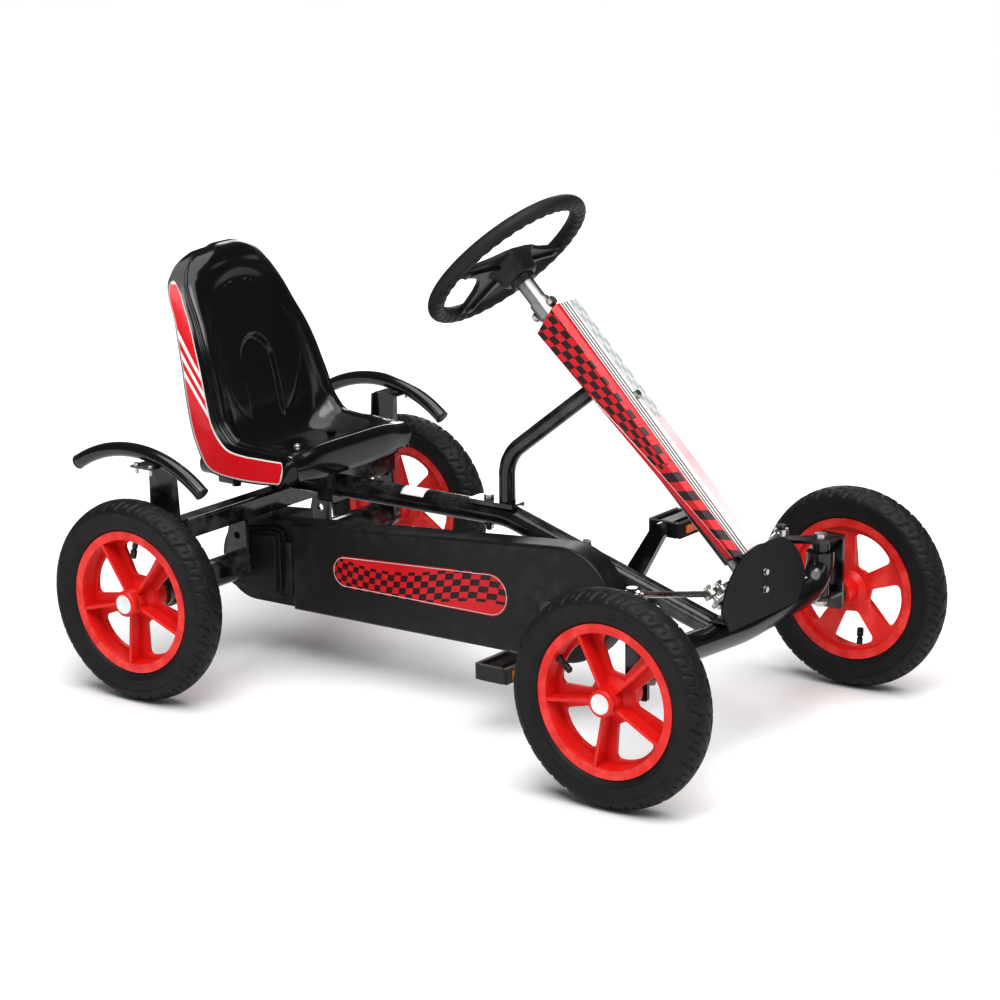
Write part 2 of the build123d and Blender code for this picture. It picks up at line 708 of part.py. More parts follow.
def sprocket_teeth(wrap, thickness):
    """Toothed disc in the chain line, with a round seat for every roller."""
    centre, teeth = wrap[:2]
    radius = pitch_radius(teeth)
    with BuildPart() as disc:
        with BuildSketch(yz(CHAIN_X - thickness / 2)):
            with Locations(centre):
                Circle(radius + 1)
                with PolarLocations(radius, teeth, start_angle=degrees(roller_seats(*wrap)[0])):
                    Circle(4.7, mode=Mode.SUBTRACT)
        extrude(amount=thickness)
    return disc.part


with BuildPart() as chainring:
    add(sprocket_teeth(RING_WRAP, 2.6))
    with BuildSketch(yz(CHAIN_X - 4)):
        with Locations(CRANK_C):
            with PolarLocations(34, 5):
                Circle(11)
    extrude(amount=8, mode=Mode.SUBTRACT)
    with BuildSketch(yz(CHAIN_X - 6)):
        with Locations(CRANK_C):
            Circle(13)
    extrude(amount=12)
    rod((-120, *CRANK_C), (60, *CRANK_C), 8, Mode.SUBTRACT)
save(chainring, "chainring")

with BuildPart() as crank_axle:
    rod((-112, *CRANK_C), (112, *CRANK_C), 8)
save(crank_axle, "crank_axle")

with BuildPart() as rear_sprocket:
    add(sprocket_teeth(SPROCKET_WRAP, 2.6))
    rod((CHAIN_X + 4, *AXLE_C), (CASE_HUB - 8, *AXLE_C), 27)
    rod((CHAIN_X - 3, *AXLE_C), (CHAIN_X + 5, *AXLE_C), 18)
    rod((-120, *AXLE_C), (60, *AXLE_C), AXLE_R, Mode.SUBTRACT)
save(rear_sprocket, "rear_sprocket")

REAR_HUB_FACE = REAR_HALF_TRACK - REAR_HUB_IN
with BuildPart() as rear_axle:
    rod((-REAR_HALF_TRACK - 24, *AXLE_C), (REAR_HALF_TRACK + 24, *AXLE_C), AXLE_R)
    for side in SIDES.values():
        rod((side * (HOUSING_END + 0.6), *AXLE_C), (side * (REAR_HUB_FACE - 0.6), *AXLE_C), 14)
        rod((side * (REAR_HALF_TRACK + HUB_OUT + 0.5), *AXLE_C),
            (side * (REAR_HALF_TRACK + HUB_OUT + 4), *AXLE_C), 12)
save(rear_axle, "rear_axle")


def chain_route():
    """Roller centres in side view: one in every seat the chain wraps, then both straight runs."""
    wraps = []
    for wrap in (RING_WRAP, SPROCKET_WRAP):
        y, z = wrap[0]
        radius = pitch_radius(wrap[1])
        wraps.append([(y + radius * cos(a), z + radius * sin(a)) for a in roller_seats(*wrap)])
    rollers = wraps[0] + wraps[1]
    for leave, meet in ((wraps[0][-1], wraps[1][0]), (wraps[1][-1], wraps[0][0])):
        dy, dz = meet[0] - leave[0], meet[1] - leave[1]
        links = round(hypot(dy, dz) / PITCH)
        rollers += [(leave[0] + dy * n / links, leave[1] + dz * n / links) for n in range(1, links)]
    return rollers


def chain_hull(grow):
    """Convex outline round both sprockets' pitch circles."""
    with BuildSketch() as outline:
        for centre, teeth in ((CRANK_C, RING_TEETH), (AXLE_C, SPROCKET_TEETH)):
            with Locations(centre):
                Circle(pitch_radius(teeth) + grow)
        make_hull()
    return outline.sketch


with BuildPart() as chain:
    for x in (CHAIN_X - 3.4, CHAIN_X + 2):
        with BuildSketch(yz(x)):
            add(chain_hull(3.6))
            add(chain_hull(-3.6), mode=Mode.SUBTRACT)
        extrude(amount=1.4)
    with BuildSketch(yz(CHAIN_X - 2.5)):
        with Locations(*chain_route()):
            Circle(3.7)
    extrude(amount=5)
save(chain, "chain")

with BuildPart() as frame_bolts:
    screw(slope_bolt(TUBE_R), slope_bolt(-34), 4, 13)
    bolt((0, FOOT_BOLT_Y, FOOT_TOP), (0, FOOT_BOLT_Y, TUBE_Z - TUBE_R), 4)
    screw(cover_screw(COVER_RISE), cover_screw(15), 3, 10)
    for z in PLATE_SCREW_Z:
        screw((0, PLATE_Y - 2, z), (0, PLATE_Y + 6, z), 3, 8, 1)
    bolt((*HANGING_BOLT, CASE_REAR[1] + 52), (*HANGING_BOLT, CASE_REAR[1] + 67.1), 3, 10, 3.5, 0.2)
    for side in SIDES.values():
        hole = side * FLANGE_SCREW_X
        screw((hole, BEAM_Y, 199.3), (hole, BEAM_Y, 184), 3, 10)
        foot = side * STRAP_FOOT_X
        bolt((foot, CROSS_Y, CROSS_TOP + STRAP_SHEET), (foot, CROSS_Y, CROSS_LOW), 3, 10, 5)
        for x, y in PAD_SCREWS:
            screw((side * x, y, STRAP_TOP), (side * x, y, STRAP_TOP - 12), 2.5, 8, 1)
save(frame_bolts, "frame_bolts")

# ---------------------------------------------------------------- steering

with BuildPart() as steering_wheel:
    with BuildSketch(Plane(origin=STEER_C, x_dir=(1, 0, 0), z_dir=column(0).y_dir)) as grip:
        with Locations((GRIP_MAJOR, 0)):
            Circle(GRIP_R)
    revolve(grip.sketch, axis=Axis(STEER_C, column(0).z_dir), revolution_arc=360)
    with BuildSketch(column(9)):
        with BuildLine():
            Polyline((-120, -13), (120, -13), (122, 9), (62, 23), (34, 42), (20, 66), (13, 121),
                     (-13, 121), (-20, 66), (-34, 42), (-62, 23), (-122, 9), close=True)
        make_face()
    extrude(amount=9)
    with BuildSketch(column(38)):
        RectangleRounded(62, 62, 14)
        RectangleRounded(55, 55, 10.5, mode=Mode.SUBTRACT)
    extrude(amount=36)
    with BuildSketch(column(38)):
        Circle(18)
    extrude(amount=36)
    with BuildSketch(column(40)):
        Circle(SHAFT_R + RUN)
    extrude(amount=32, mode=Mode.SUBTRACT)
save(steering_wheel, "steering_wheel")

CLAMP_DOWN = 95
SHAFT_TOP = 10
with BuildPart() as steering_shaft:
    with BuildSketch(column(SHAFT_END)):
        Circle(SHAFT_R)
        Circle(SHAFT_R - 2, mode=Mode.SUBTRACT)
    extrude(amount=SHAFT_END - SHAFT_TOP)
    with BuildSketch(column(CLAMP_DOWN + 14)):
        Circle(16)
        Circle(SHAFT_R - 1, mode=Mode.SUBTRACT)
    extrude(amount=28)
    across = column(CLAMP_DOWN)
    rod(tuple(across.from_local_coords((0, -30, 0))), tuple(across.from_local_coords((0, 30, 0))), 4.2,
        Mode.SUBTRACT)
save(steering_shaft, "steering_shaft")

PITMAN_SHEET = 5
EYE_RISE = 14               # tie rod eyes above the pitman arm, along the steering axis
with BuildPart() as pitman_arm:
    with BuildSketch(column(SHAFT_END + PITMAN_SHEET)):
        Circle(19)
        with Locations((-ROD_SPREAD, PITMAN_ARM), (ROD_SPREAD, PITMAN_ARM)):
            Circle(11)
        make_hull()
        with Locations((-ROD_SPREAD, PITMAN_ARM), (ROD_SPREAD, PITMAN_ARM)):
            Circle(PITMAN_STUD_R + 0.1, mode=Mode.SUBTRACT)
    extrude(amount=PITMAN_SHEET)
save(pitman_arm, "pitman_arm")


def pitman_point(side, rise):
    """Point on a tie rod's ball stud, measured along the steering axis from the arm's upper face."""
    return tuple(column(SHAFT_END - rise).from_local_coords((side * ROD_SPREAD, PITMAN_ARM, 0)))


with BuildPart() as steering_bolts:
    bolt(tuple(across.from_local_coords((0, -16, 0))), tuple(across.from_local_coords((0, 16, 0))), 4)
    for side in SIDES.values():
        rod(pitman_point(side, -PITMAN_SHEET - 7), pitman_point(side, EYE_RISE + 9), PITMAN_STUD_R)
        rod(pitman_point(side, 0), pitman_point(side, 2), 7)
        hexagon(pitman_point(side, -PITMAN_SHEET), tuple(column(0).z_dir * -1), 12, 5)
        hexagon(pitman_point(side, EYE_RISE + 9), tuple(column(0).z_dir), 12, 4)
save(steering_bolts, "steering_bolts")

# front knuckles: a bracket round the beam's end, pivoting on a kingpin bolt
KNUCKLE_TOP = 254
KNUCKLE_LOW = 160.5
KNUCKLE_SHEET = 5
KNUCKLE_X = 262
for place, side in SIDES.items():
    pin = (side * KINGPIN_X, KINGPIN_Y)
    arm = (side * (KINGPIN_X - ARM_IN), KINGPIN_Y + ARM_BACK)
    plate_end = side * (KNUCKLE_X + 3)
    with BuildPart() as knuckle:
        for low in (KNUCKLE_LOW, KNUCKLE_TOP - KNUCKLE_SHEET):
            with BuildSketch(flat(low)):
                with Locations(pin):
                    Circle(17)
                with Locations((plate_end, KINGPIN_Y)):
                    Rectangle(6, 36)
                make_hull()
            extrude(amount=KNUCKLE_SHEET)
        with BuildSketch(flat(KNUCKLE_TOP - KNUCKLE_SHEET)):
            with Locations(pin):
                Circle(17)
            with Locations(arm):
                Circle(12)
            make_hull()
        extrude(amount=KNUCKLE_SHEET)
        with BuildSketch(yz(plate_end)):
            with Locations((KINGPIN_Y, (KNUCKLE_TOP + 138) / 2)):
                RectangleRounded(36, KNUCKLE_TOP - 138, 4)
        extrude(amount=3, both=True)
        rod((plate_end, KINGPIN_Y, WHEEL_R), (side * (FRONT_HALF_TRACK + 24.5), KINGPIN_Y, WHEEL_R), 8)
        rod((plate_end, KINGPIN_Y, WHEEL_R), (side * (FRONT_HALF_TRACK - 47.6), KINGPIN_Y, WHEEL_R), 13)
        rod((side * (FRONT_HALF_TRACK + HUB_OUT + 0.6), KINGPIN_Y, WHEEL_R),
            (side * (FRONT_HALF_TRACK + 24), KINGPIN_Y, WHEEL_R), 12)
        rod((*pin, 150), (*pin, 260), KINGPIN_R + RUN, Mode.SUBTRACT)
        rod((*arm, KNUCKLE_TOP - 12), (*arm, STUD_TOP), STUD_R)
        rod((*arm, STUD_TOP), (*arm, STUD_TOP + 4), 8)
    save(knuckle, f"knuckle_{place}")

    with BuildPart() as kingpin:
        rod((*pin, KNUCKLE_LOW - 11), (*pin, KNUCKLE_TOP), KINGPIN_R)
        hexagon((*pin, KNUCKLE_TOP), (0, 0, 1), 18, 8)
        hexagon((*pin, KNUCKLE_LOW), (0, 0, -1), 18, 9)
    save(kingpin, f"kingpin_{place}")

    outer = Vector(*arm, ROD_EYE_Z)
    inner = Vector(*pitman_point(side, EYE_RISE))
    reach = (inner - outer).normalized()
    with BuildPart() as tie_rod:
        rod(tuple(outer), tuple(inner), 4.5)
        rod((*arm, ROD_EYE_Z - 5), (*arm, ROD_EYE_Z + 5), 11)
        rod(pitman_point(side, EYE_RISE - 4), pitman_point(side, EYE_RISE + 4), EYE_R)
        rod(tuple(outer + reach * 18), tuple(outer + reach * 30), 7)
        rod((*arm, ROD_EYE_Z - 10), (*arm, ROD_EYE_Z + 10), STUD_R + RUN, Mode.SUBTRACT)
        rod(pitman_point(side, EYE_RISE - 15), pitman_point(side, EYE_RISE + 15), EYE_BORE, Mode.SUBTRACT)
    save(tie_rod, f"tie_rod_{place}")

# ---------------------------------------------------------------- cranks and pedals

PEDAL_IN = 114
PEDAL_OUT = 196
PEDAL_HALF = 29
PEDAL_T = 22
SPINDLE_R = 6
for place, side in SIDES.items():
    lean = radians(CRANK_ANGLE) if place == "left" else radians(CRANK_ANGLE + 180)
    pedal_y = CRANK_Y - CRANK_LEN * sin(lean)
    pedal_z = CRANK_Z + CRANK_LEN * cos(lean)
    with BuildPart() as crank_arm:
        with BuildSketch(yz(side * 104)):
            with Locations(CRANK_C):
                Circle(15)
            with Locations((pedal_y, pedal_z)):
                Circle(12)
            make_hull()
        extrude(amount=6, both=True)
        rod((side * 90, *CRANK_C), (side * 114, *CRANK_C), 17)
        rod((side * 85, *CRANK_C), (side * 120, *CRANK_C), 8, Mode.SUBTRACT)
        rod((side * 104, pedal_y, pedal_z), (side * (PEDAL_OUT - 6), pedal_y, pedal_z), SPINDLE_R)
    save(crank_arm, f"crank_arm_{place}")

    with BuildPart() as pedal:
        with BuildSketch(Plane(origin=(side * (PEDAL_IN + PEDAL_OUT) / 2, pedal_y, pedal_z))):
            RectangleRounded(PEDAL_OUT - PEDAL_IN, 2 * PEDAL_HALF, 7)
            with Locations((0, 16.5), (0, -16.5)):
                RectangleRounded(PEDAL_OUT - PEDAL_IN - 18, 12, 3, mode=Mode.SUBTRACT)
        extrude(amount=PEDAL_T / 2, both=True)
        rod((side * (PEDAL_IN - 1), pedal_y, pedal_z), (side * (PEDAL_OUT - 4), pedal_y, pedal_z),
            SPINDLE_R + RUN, Mode.SUBTRACT)
        for edge in (-PEDAL_HALF, PEDAL_HALF):
            with Locations((side * (PEDAL_IN + PEDAL_OUT) / 2, pedal_y + edge, pedal_z)):
                Box(50.4, 5, 12.4, mode=Mode.SUBTRACT)
    save(pedal, f"pedal_{place}")

    with BuildPart() as reflectors:
        for edge in (-PEDAL_HALF, PEDAL_HALF):
            with Locations((side * (PEDAL_IN + PEDAL_OUT) / 2, pedal_y + edge, pedal_z)):
                Box(50, 4.6, 12)
    save(reflectors, f"reflectors_{place}")

# ---------------------------------------------------------------- seat

SEAT_HALF = 168
BUCKET_HALF = 90
BUCKET_SLOPE = 26           # degrees, how far the bucket's sides lean out
SEAT_OUTLINE = (
    (266, 346), (330, 353), (385, 360), (424, 374), (445, 408), (509, 606), (521, 646), (534, 643),
    (527, 600), (486, 468), (464, 385), (444, 330), (380, 314), (306, 315), (273, 328))
PAN = ((250, 348), (330, 335), (408, 331), (449, 398), (462, 440), (520, 655))
SEAT_SHEET = 4.5
POST_X = 85
# bolts through the bucket: place along the kart, height of the seat's face and of the post
POSTS = ((328, 337.5, 330.1), (388, 333.3, 327))
BAR_TOP = 305
PLATE_TOP = 309


def pan_line(sink):
    """The bucket's centre line, sunk by a sheet thickness square to itself."""
    return [(y + sink * 0.55, z - sink) for y, z in PAN]


with BuildPart() as seat_shell:
    with BuildSketch(yz(-SEAT_HALF)) as side_view:
        with BuildLine():
            Polyline(*SEAT_OUTLINE, close=True)
        make_face()
    extrude(amount=2 * SEAT_HALF)
    with BuildSketch(Plane(origin=(0, 200, 0), x_dir=(1, 0, 0), z_dir=(0, -1, 0))) as front_view:
        with BuildLine():
            Polyline((149, 604), (160, 560), (SEAT_HALF, 470), (SEAT_HALF, 300), (-SEAT_HALF, 300),
                     (-SEAT_HALF, 470), (-160, 560), (-149, 604))
            ThreePointArc((-149, 604), (0, 648), (149, 604))
        make_face()
    extrude(front_view.sketch, amount=-400, mode=Mode.INTERSECT)
    with BuildSketch(flat(300)) as plan_view:
        with Locations((0, 461)):
            RectangleRounded(2 * SEAT_HALF, 400, 15)
    extrude(plan_view.sketch, amount=400, mode=Mode.INTERSECT)
    with BuildSketch(yz(-BUCKET_HALF)) as bucket:
        with BuildLine():
            Polyline(*PAN, (300, 800), (100, 600), close=True)
        make_face()
    extrude(bucket.sketch, amount=2 * BUCKET_HALF, mode=Mode.SUBTRACT)
    for side in SIDES.values():
        with BuildSketch(Plane(origin=(side * BUCKET_HALF, 0, 0), x_dir=(0, 1, 0), z_dir=(side, 0, 0))) as flank:
            with BuildLine():
                Polyline(*[(y, z * side) for y, z in (*PAN, (300, 800), (100, 600))], close=True)
            make_face()
        extrude(flank.sketch, amount=56, taper=BUCKET_SLOPE, mode=Mode.SUBTRACT)
    with BuildSketch(yz(5 - SEAT_HALF)) as hollow:
        with BuildLine():
            Polyline((278, 339), *pan_line(SEAT_SHEET)[1:-1], (518.5, 636), (620, 636), (620, 200),
                     (278, 200), close=True)
        make_face()
    extrude(hollow.sketch, amount=2 * SEAT_HALF - 10, mode=Mode.SUBTRACT)
    for x in (-POST_X, POST_X):
        for y, face, post in POSTS:
            rod((x, y, post - 5), (x, y, face + 5), 4.2, Mode.SUBTRACT)
save(seat_shell, "seat_shell")

with BuildPart() as seat_panels:
    for side in SIDES.values():
        with BuildSketch(yz(side * (SEAT_HALF + 0.8))) as outline:
            with BuildLine():
                Polyline((278, 334), (308, 321), (380, 320), (440, 336), (459, 388), (478, 466),
                         (452, 448), (437, 410), (418, 382), (384, 366), (330, 358), (279, 351),
                         close=True)
            make_face()
            fillet(outline.vertices(), 3)
        extrude(outline.sketch, amount=0.8, both=True)
save(seat_panels, "seat_panels")

BLOCKS = ((298, 328), (502, 532))
with BuildPart() as seat_clamp:
    with BuildSketch(flat(300.5)):
        with Locations((0, 415)):
            RectangleRounded(50, 234, 4)
    extrude(amount=BAR_TOP - 300.5)
    with BuildSketch(flat(BAR_TOP)):
        with Locations((0, 358)):
            RectangleRounded(220, 80, 6)
    extrude(amount=PLATE_TOP - BAR_TOP)
    for start, end in BLOCKS:
        with BuildSketch(Plane(origin=(0, start, 280), x_dir=(1, 0, 0), z_dir=(0, 1, 0))):
            RectangleRounded(52, 44, 5)
        extrude(amount=end - start)
    for x in (-POST_X, POST_X):
        for y, face, post in POSTS:
            rod((x, y, BAR_TOP), (x, y, post), 9)
            rod((x, y, BAR_TOP - 1), (x, y, face), 4.2, Mode.SUBTRACT)
    rod((0, 290, TUBE_Z), (0, 540, TUBE_Z), TUBE_R + RUN, Mode.SUBTRACT)
    for start, end in BLOCKS:
        rod((0, (start + end) / 2, 250), (0, (start + end) / 2, 270), 5.1, Mode.SUBTRACT)
save(seat_clamp, "seat_clamp")

with BuildPart() as seat_bolts:
    for x in (-POST_X, POST_X):
        for y, face, post in POSTS:
            bolt((x, y, face), (x, y, BAR_TOP), 4)
    for start, end in BLOCKS:
        screw((0, (start + end) / 2, 258), (0, (start + end) / 2, TUBE_Z - TUBE_R - 0.4), 5, 13)
save(seat_bolts, "seat_bolts")
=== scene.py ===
import math

import bmesh
import bpy
import numpy as np
from mathutils import Matrix, Vector


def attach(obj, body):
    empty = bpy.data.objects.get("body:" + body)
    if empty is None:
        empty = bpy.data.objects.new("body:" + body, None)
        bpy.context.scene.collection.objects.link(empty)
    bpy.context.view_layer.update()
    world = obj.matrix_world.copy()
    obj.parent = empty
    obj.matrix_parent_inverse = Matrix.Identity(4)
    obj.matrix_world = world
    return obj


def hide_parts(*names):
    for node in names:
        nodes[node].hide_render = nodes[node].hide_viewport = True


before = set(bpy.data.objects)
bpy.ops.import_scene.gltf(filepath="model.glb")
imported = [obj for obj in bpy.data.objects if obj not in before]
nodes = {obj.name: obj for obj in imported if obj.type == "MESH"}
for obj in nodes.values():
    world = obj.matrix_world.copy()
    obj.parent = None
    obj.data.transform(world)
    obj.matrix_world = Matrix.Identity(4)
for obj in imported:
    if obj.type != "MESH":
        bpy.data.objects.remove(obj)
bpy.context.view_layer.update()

SIDES = {"left": 1.0, "right": -1.0}

# ---------------------------------------------------------------- camera, light and floor

AZIMUTH, ELEVATION, ROLL = math.radians(-53.7834), math.radians(14.7608), math.radians(-0.7145)
TARGET = Vector((0.0084, 0.0, 0.299))
DISTANCE = 4.7693
LENS = 113.8
SUN_POWER, SUN_SPREAD = 3.8, math.radians(70)
WORLD_POWER, VIEW_GAMMA = 0.13, 0.80


def add_camera():
    back = Vector((math.sin(AZIMUTH) * math.cos(ELEVATION), -math.cos(AZIMUTH) * math.cos(ELEVATION),
                   math.sin(ELEVATION)))
    right = (-back).cross(Vector((0, 0, 1))).normalized()
    up = right.cross(-back)
    rolled = right * math.cos(ROLL) + up * math.sin(ROLL)
    up = up * math.cos(ROLL) - right * math.sin(ROLL)
    data = bpy.data.cameras.new("camera")
    data.lens = LENS
    data.sensor_width = 36.0
    camera = bpy.data.objects.new("camera", data)
    bpy.context.scene.collection.objects.link(camera)
    turn = Matrix((rolled, up, back)).transposed()
    camera.matrix_world = Matrix.Translation(TARGET + back * DISTANCE) @ turn.to_4x4()
    bpy.context.scene.camera = camera


def add_light(name, place, size, power, colour=(1, 1, 1)):
    data = bpy.data.lights.new(name, "AREA")
    data.shape = "RECTANGLE"
    data.size, data.size_y = size
    data.energy = power
    data.color = colour
    lamp = bpy.data.objects.new(name, data)
    bpy.context.scene.collection.objects.link(lamp)
    lamp.location = place
    lamp.rotation_euler = (Vector((0, 0, 0.3)) - Vector(place)).to_track_quat("-Z", "Y").to_euler()


add_camera()
add_light("key", (-2.4, -1.2, 3.4), (1.5, 1.5), 46)
add_light("fill", (-1.0, -4.4, 1.6), (1.2, 2.4), 20)
add_light("rim", (3.2, 2.0, 2.2), (0.8, 2.6), 34)
add_light("strip", (-4.4, 1.0, 1.5), (0.4, 2.6), 18)
sun_data = bpy.data.lights.new("sky", "SUN")
sun_data.energy = SUN_POWER
sun_data.angle = SUN_SPREAD
sun = bpy.data.objects.new("sky", sun_data)
sun.rotation_euler = (math.radians(14), math.radians(-10), 0)
bpy.context.scene.collection.objects.link(sun)
world = bpy.data.worlds.new("studio")
world.use_nodes = True
world.node_tree.nodes["Background"].inputs["Color"].default_value = (0.98, 0.985, 1.0, 1)
world.node_tree.nodes["Background"].inputs["Strength"].default_value = WORLD_POWER
bpy.context.scene.world = world
bpy.context.scene.view_settings.view_transform = "Standard"
bpy.context.scene.view_settings.gamma = VIEW_GAMMA


# ---------------------------------------------------------------- materials

class Shader:
    """A Principled material whose varying colour, roughness and bump come from nodes."""

    def __init__(self, name, rough=0.5, metallic=0.0, coat=0.0, coat_rough=0.08, specular=0.5):
        self.mat = bpy.data.materials.new(name)
        self.mat.use_nodes = True
        self.tree = self.mat.node_tree
        self.bsdf = self.tree.nodes["Principled BSDF"]
        self.bsdf.inputs["Roughness"].default_value = rough
        self.bsdf.inputs["Metallic"].default_value = metallic
        self.bsdf.inputs["Coat Weight"].default_value = coat
        self.bsdf.inputs["Coat Roughness"].default_value = coat_rough
        self.bsdf.inputs["Specular IOR Level"].default_value = specular
        self.place = self.add("ShaderNodeTexCoord").outputs["Object"]

    def add(self, kind, **settings):
        node = self.tree.nodes.new(kind)
        for key, value in settings.items():
            setattr(node, key, value)
        return node

    def put(self, socket, value):
        if isinstance(value, bpy.types.NodeSocket):
            self.tree.links.new(value, socket)
        elif isinstance(value, (tuple, list)) and len(value) == 3 and len(socket.default_value) == 4:
            socket.default_value = (*value, 1)
        else:
            socket.default_value = value

    def noise(self, scale, detail=3.0, rough=0.55, at=None):
        node = self.add("ShaderNodeTexNoise")
        self.put(node.inputs["Vector"], at or self.place)
        self.put(node.inputs["Scale"], scale)
        self.put(node.inputs["Detail"], detail)
        self.put(node.inputs["Roughness"], rough)
        return node.outputs["Fac"]

    def span(self, value, low, high, to_low=0.0, to_high=1.0):
        node = self.add("ShaderNodeMapRange")
        for socket, number in zip(node.inputs[:5], (value, low, high, to_low, to_high)):
            self.put(socket, number)
        return node.outputs[0]

    def mix(self, amount, first, second):
        node = self.add("ShaderNodeMix", data_type="RGBA")
        self.put(node.inputs["Factor"], amount)
        self.put(node.inputs[6], first)
        self.put(node.inputs[7], second)
        return node.outputs[2]

    def math(self, how, first, second=0.0, third=0.0):
        node = self.add("ShaderNodeMath", operation=how)
        for socket, number in zip(node.inputs, (first, second, third)):
            self.put(socket, number)
        return node.outputs[0]

    def axes(self):
        node = self.add("ShaderNodeSeparateXYZ")
        self.put(node.inputs[0], self.place)
        return node.outputs

    def band(self, value, low, high, soft=0.0002):
        """1 between low and high, 0 outside."""
        rise = self.span(value, low - soft, low + soft)
        fall = self.span(value, high - soft, high + soft, 1.0, 0.0)
        return self.math("MULTIPLY", rise, fall)

    def checks(self, along, across, pitch, rise):
        """Chequer of cells pitch long and rise high: 1 on half of them."""
        first = self.math("FLOOR", self.math("DIVIDE", along, pitch))
        second = self.math("FLOOR", self.math("DIVIDE", across, rise))
        return self.math("PINGPONG", self.math("ADD", first, second), 1.0)

    def highlight_edges(self):
        """1 on sharp outer edges, broken up by noise: the mask for a painted highlight along edges."""
        sharp = self.span(self.add("ShaderNodeNewGeometry").outputs["Pointiness"], 0.53, 0.6)
        return self.math("MULTIPLY", sharp, self.span(self.noise(38, 5), 0.42, 0.62))

    def colour(self, value):
        self.put(self.bsdf.inputs["Base Color"], value)

    def roughness(self, value):
        self.put(self.bsdf.inputs["Roughness"], value)

    def bump(self, height, strength=0.2, distance=0.0005):
        node = self.add("ShaderNodeBump")
        self.put(node.inputs["Height"], height)
        self.put(node.inputs["Strength"], strength)
        self.put(node.inputs["Distance"], distance)
        self.put(self.bsdf.inputs["Normal"], node.outputs[0])


def plain(name, base, tint, rough, rough_to, grain, bump, metallic=0.0, coat=0.0, edge_highlight=None, specular=0.5):
    """Moulded or painted surface: mottled colour, uneven gloss, fine grain and a painted highlight on sharp
    edges.
    """
    s = Shader(name, rough, metallic, coat, specular=specular)
    cloud = s.noise(9, 4)
    colour = s.mix(s.span(cloud, 0.35, 0.7), base, tint)
    # painted highlight: sharp edges lightened towards the given colour, as if they caught the light
    if edge_highlight:
        colour = s.mix(s.highlight_edges(), colour, edge_highlight)
    s.colour(colour)
    s.roughness(s.span(s.noise(23, 6, 0.65), 0.3, 0.7, rough, rough_to))
    s.bump(s.noise(grain, 2.0), bump)
    return s.mat


M = {}
# the edge colours given below are painted highlights on sharp edges
M["paint"] = plain("black_paint", (0.0060, 0.0060, 0.0064), (0.0085, 0.0085, 0.009), 0.17, 0.22, 420, 0.04,
                   coat=0.5, edge_highlight=(0.07, 0.07, 0.07))
M["plate"] = plain("plate_paint", (0.0025, 0.0025, 0.003), (0.0045, 0.0045, 0.005), 0.30, 0.38, 500, 0.04,
                   specular=0.16)
M["case"] = plain("case_plastic", (0.0090, 0.0090, 0.0088), (0.0120, 0.0120, 0.0116), 0.42, 0.47, 900, 0.18,
                  edge_highlight=(0.03, 0.03, 0.03), specular=0.42)
M["black"] = plain("black_plastic", (0.010, 0.010, 0.0105), (0.019, 0.019, 0.019), 0.36, 0.52, 800, 0.16)
M["seat"] = plain("seat_plastic", (0.0050, 0.0050, 0.0054), (0.0068, 0.0068, 0.0072), 0.18, 0.23, 260, 0.03,
                  coat=0.22, specular=0.42)
M["red"] = plain("scarlet_plastic", (0.72, 0.020, 0.016), (0.64, 0.014, 0.011), 0.38, 0.45, 620, 0.1,
                 edge_highlight=(0.80, 0.07, 0.055))
M["white"] = plain("white_plastic", (0.80, 0.80, 0.78), (0.72, 0.73, 0.72), 0.3, 0.42, 500, 0.05)
M["zinc"] = plain("zinc_steel", (0.62, 0.62, 0.60), (0.47, 0.47, 0.45), 0.2, 0.4, 300, 0.1, metallic=1.0)
M["shaft"] = plain("shaft_steel", (0.40, 0.40, 0.39), (0.31, 0.31, 0.30), 0.36, 0.46, 300, 0.08, metallic=1.0)
M["chrome"] = plain("chrome_steel", (0.72, 0.72, 0.73), (0.6, 0.6, 0.61), 0.1, 0.22, 400, 0.04, metallic=1.0)
M["dark_steel"] = plain("oiled_steel", (0.16, 0.155, 0.15), (0.08, 0.075, 0.07), 0.3, 0.5, 350, 0.15,
                        metallic=1.0)
M["grip"] = plain("grip_rubber", (0.013, 0.013, 0.0135), (0.026, 0.026, 0.027), 0.5, 0.66, 1300, 0.35,
                  specular=0.35)
M["serration"] = plain("pedal_grit", (0.20, 0.19, 0.17), (0.07, 0.068, 0.062), 0.55, 0.8, 700, 0.5)
M["sticker"] = plain("blank_sticker", (0.78, 0.78, 0.76), (0.68, 0.68, 0.66), 0.35, 0.45, 300, 0.03)


def tyre_rubber():
    s = Shader("tyre_rubber", 0.7, specular=0.35)
    dust = s.span(s.noise(16, 6, 0.7), 0.46, 0.75, 0.0, 0.3)
    base = s.mix(s.span(s.noise(60, 5), 0.35, 0.7), (0.0085, 0.0085, 0.0088), (0.0135, 0.0135, 0.0135))
    s.colour(s.mix(dust, base, (0.026, 0.0245, 0.0225)))
    s.roughness(s.span(s.noise(34, 5), 0.3, 0.7, 0.5, 0.62))
    s.bump(s.noise(900, 3), 0.25, 0.0003)
    return s.mat


def reflector():
    s = Shader("orange_reflector", 0.18, coat=0.6)
    prism = s.add("ShaderNodeTexVoronoi", feature="F1", distance="CHEBYCHEV")
    s.put(prism.inputs["Vector"], s.place)
    s.put(prism.inputs["Scale"], 420.0)
    # painted glint: each prism cell brighter orange at its centre and darker at its edges, as the facets
    # catch the light
    prism_glint = s.span(prism.outputs["Distance"], 0.0, 0.7)
    s.colour(s.mix(prism_glint, (0.95, 0.26, 0.012), (0.52, 0.09, 0.004)))
    s.roughness(s.span(s.noise(90, 3), 0.3, 0.7, 0.14, 0.3))
    s.bump(prism.outputs["Distance"], 0.5, 0.0006)
    return s.mat


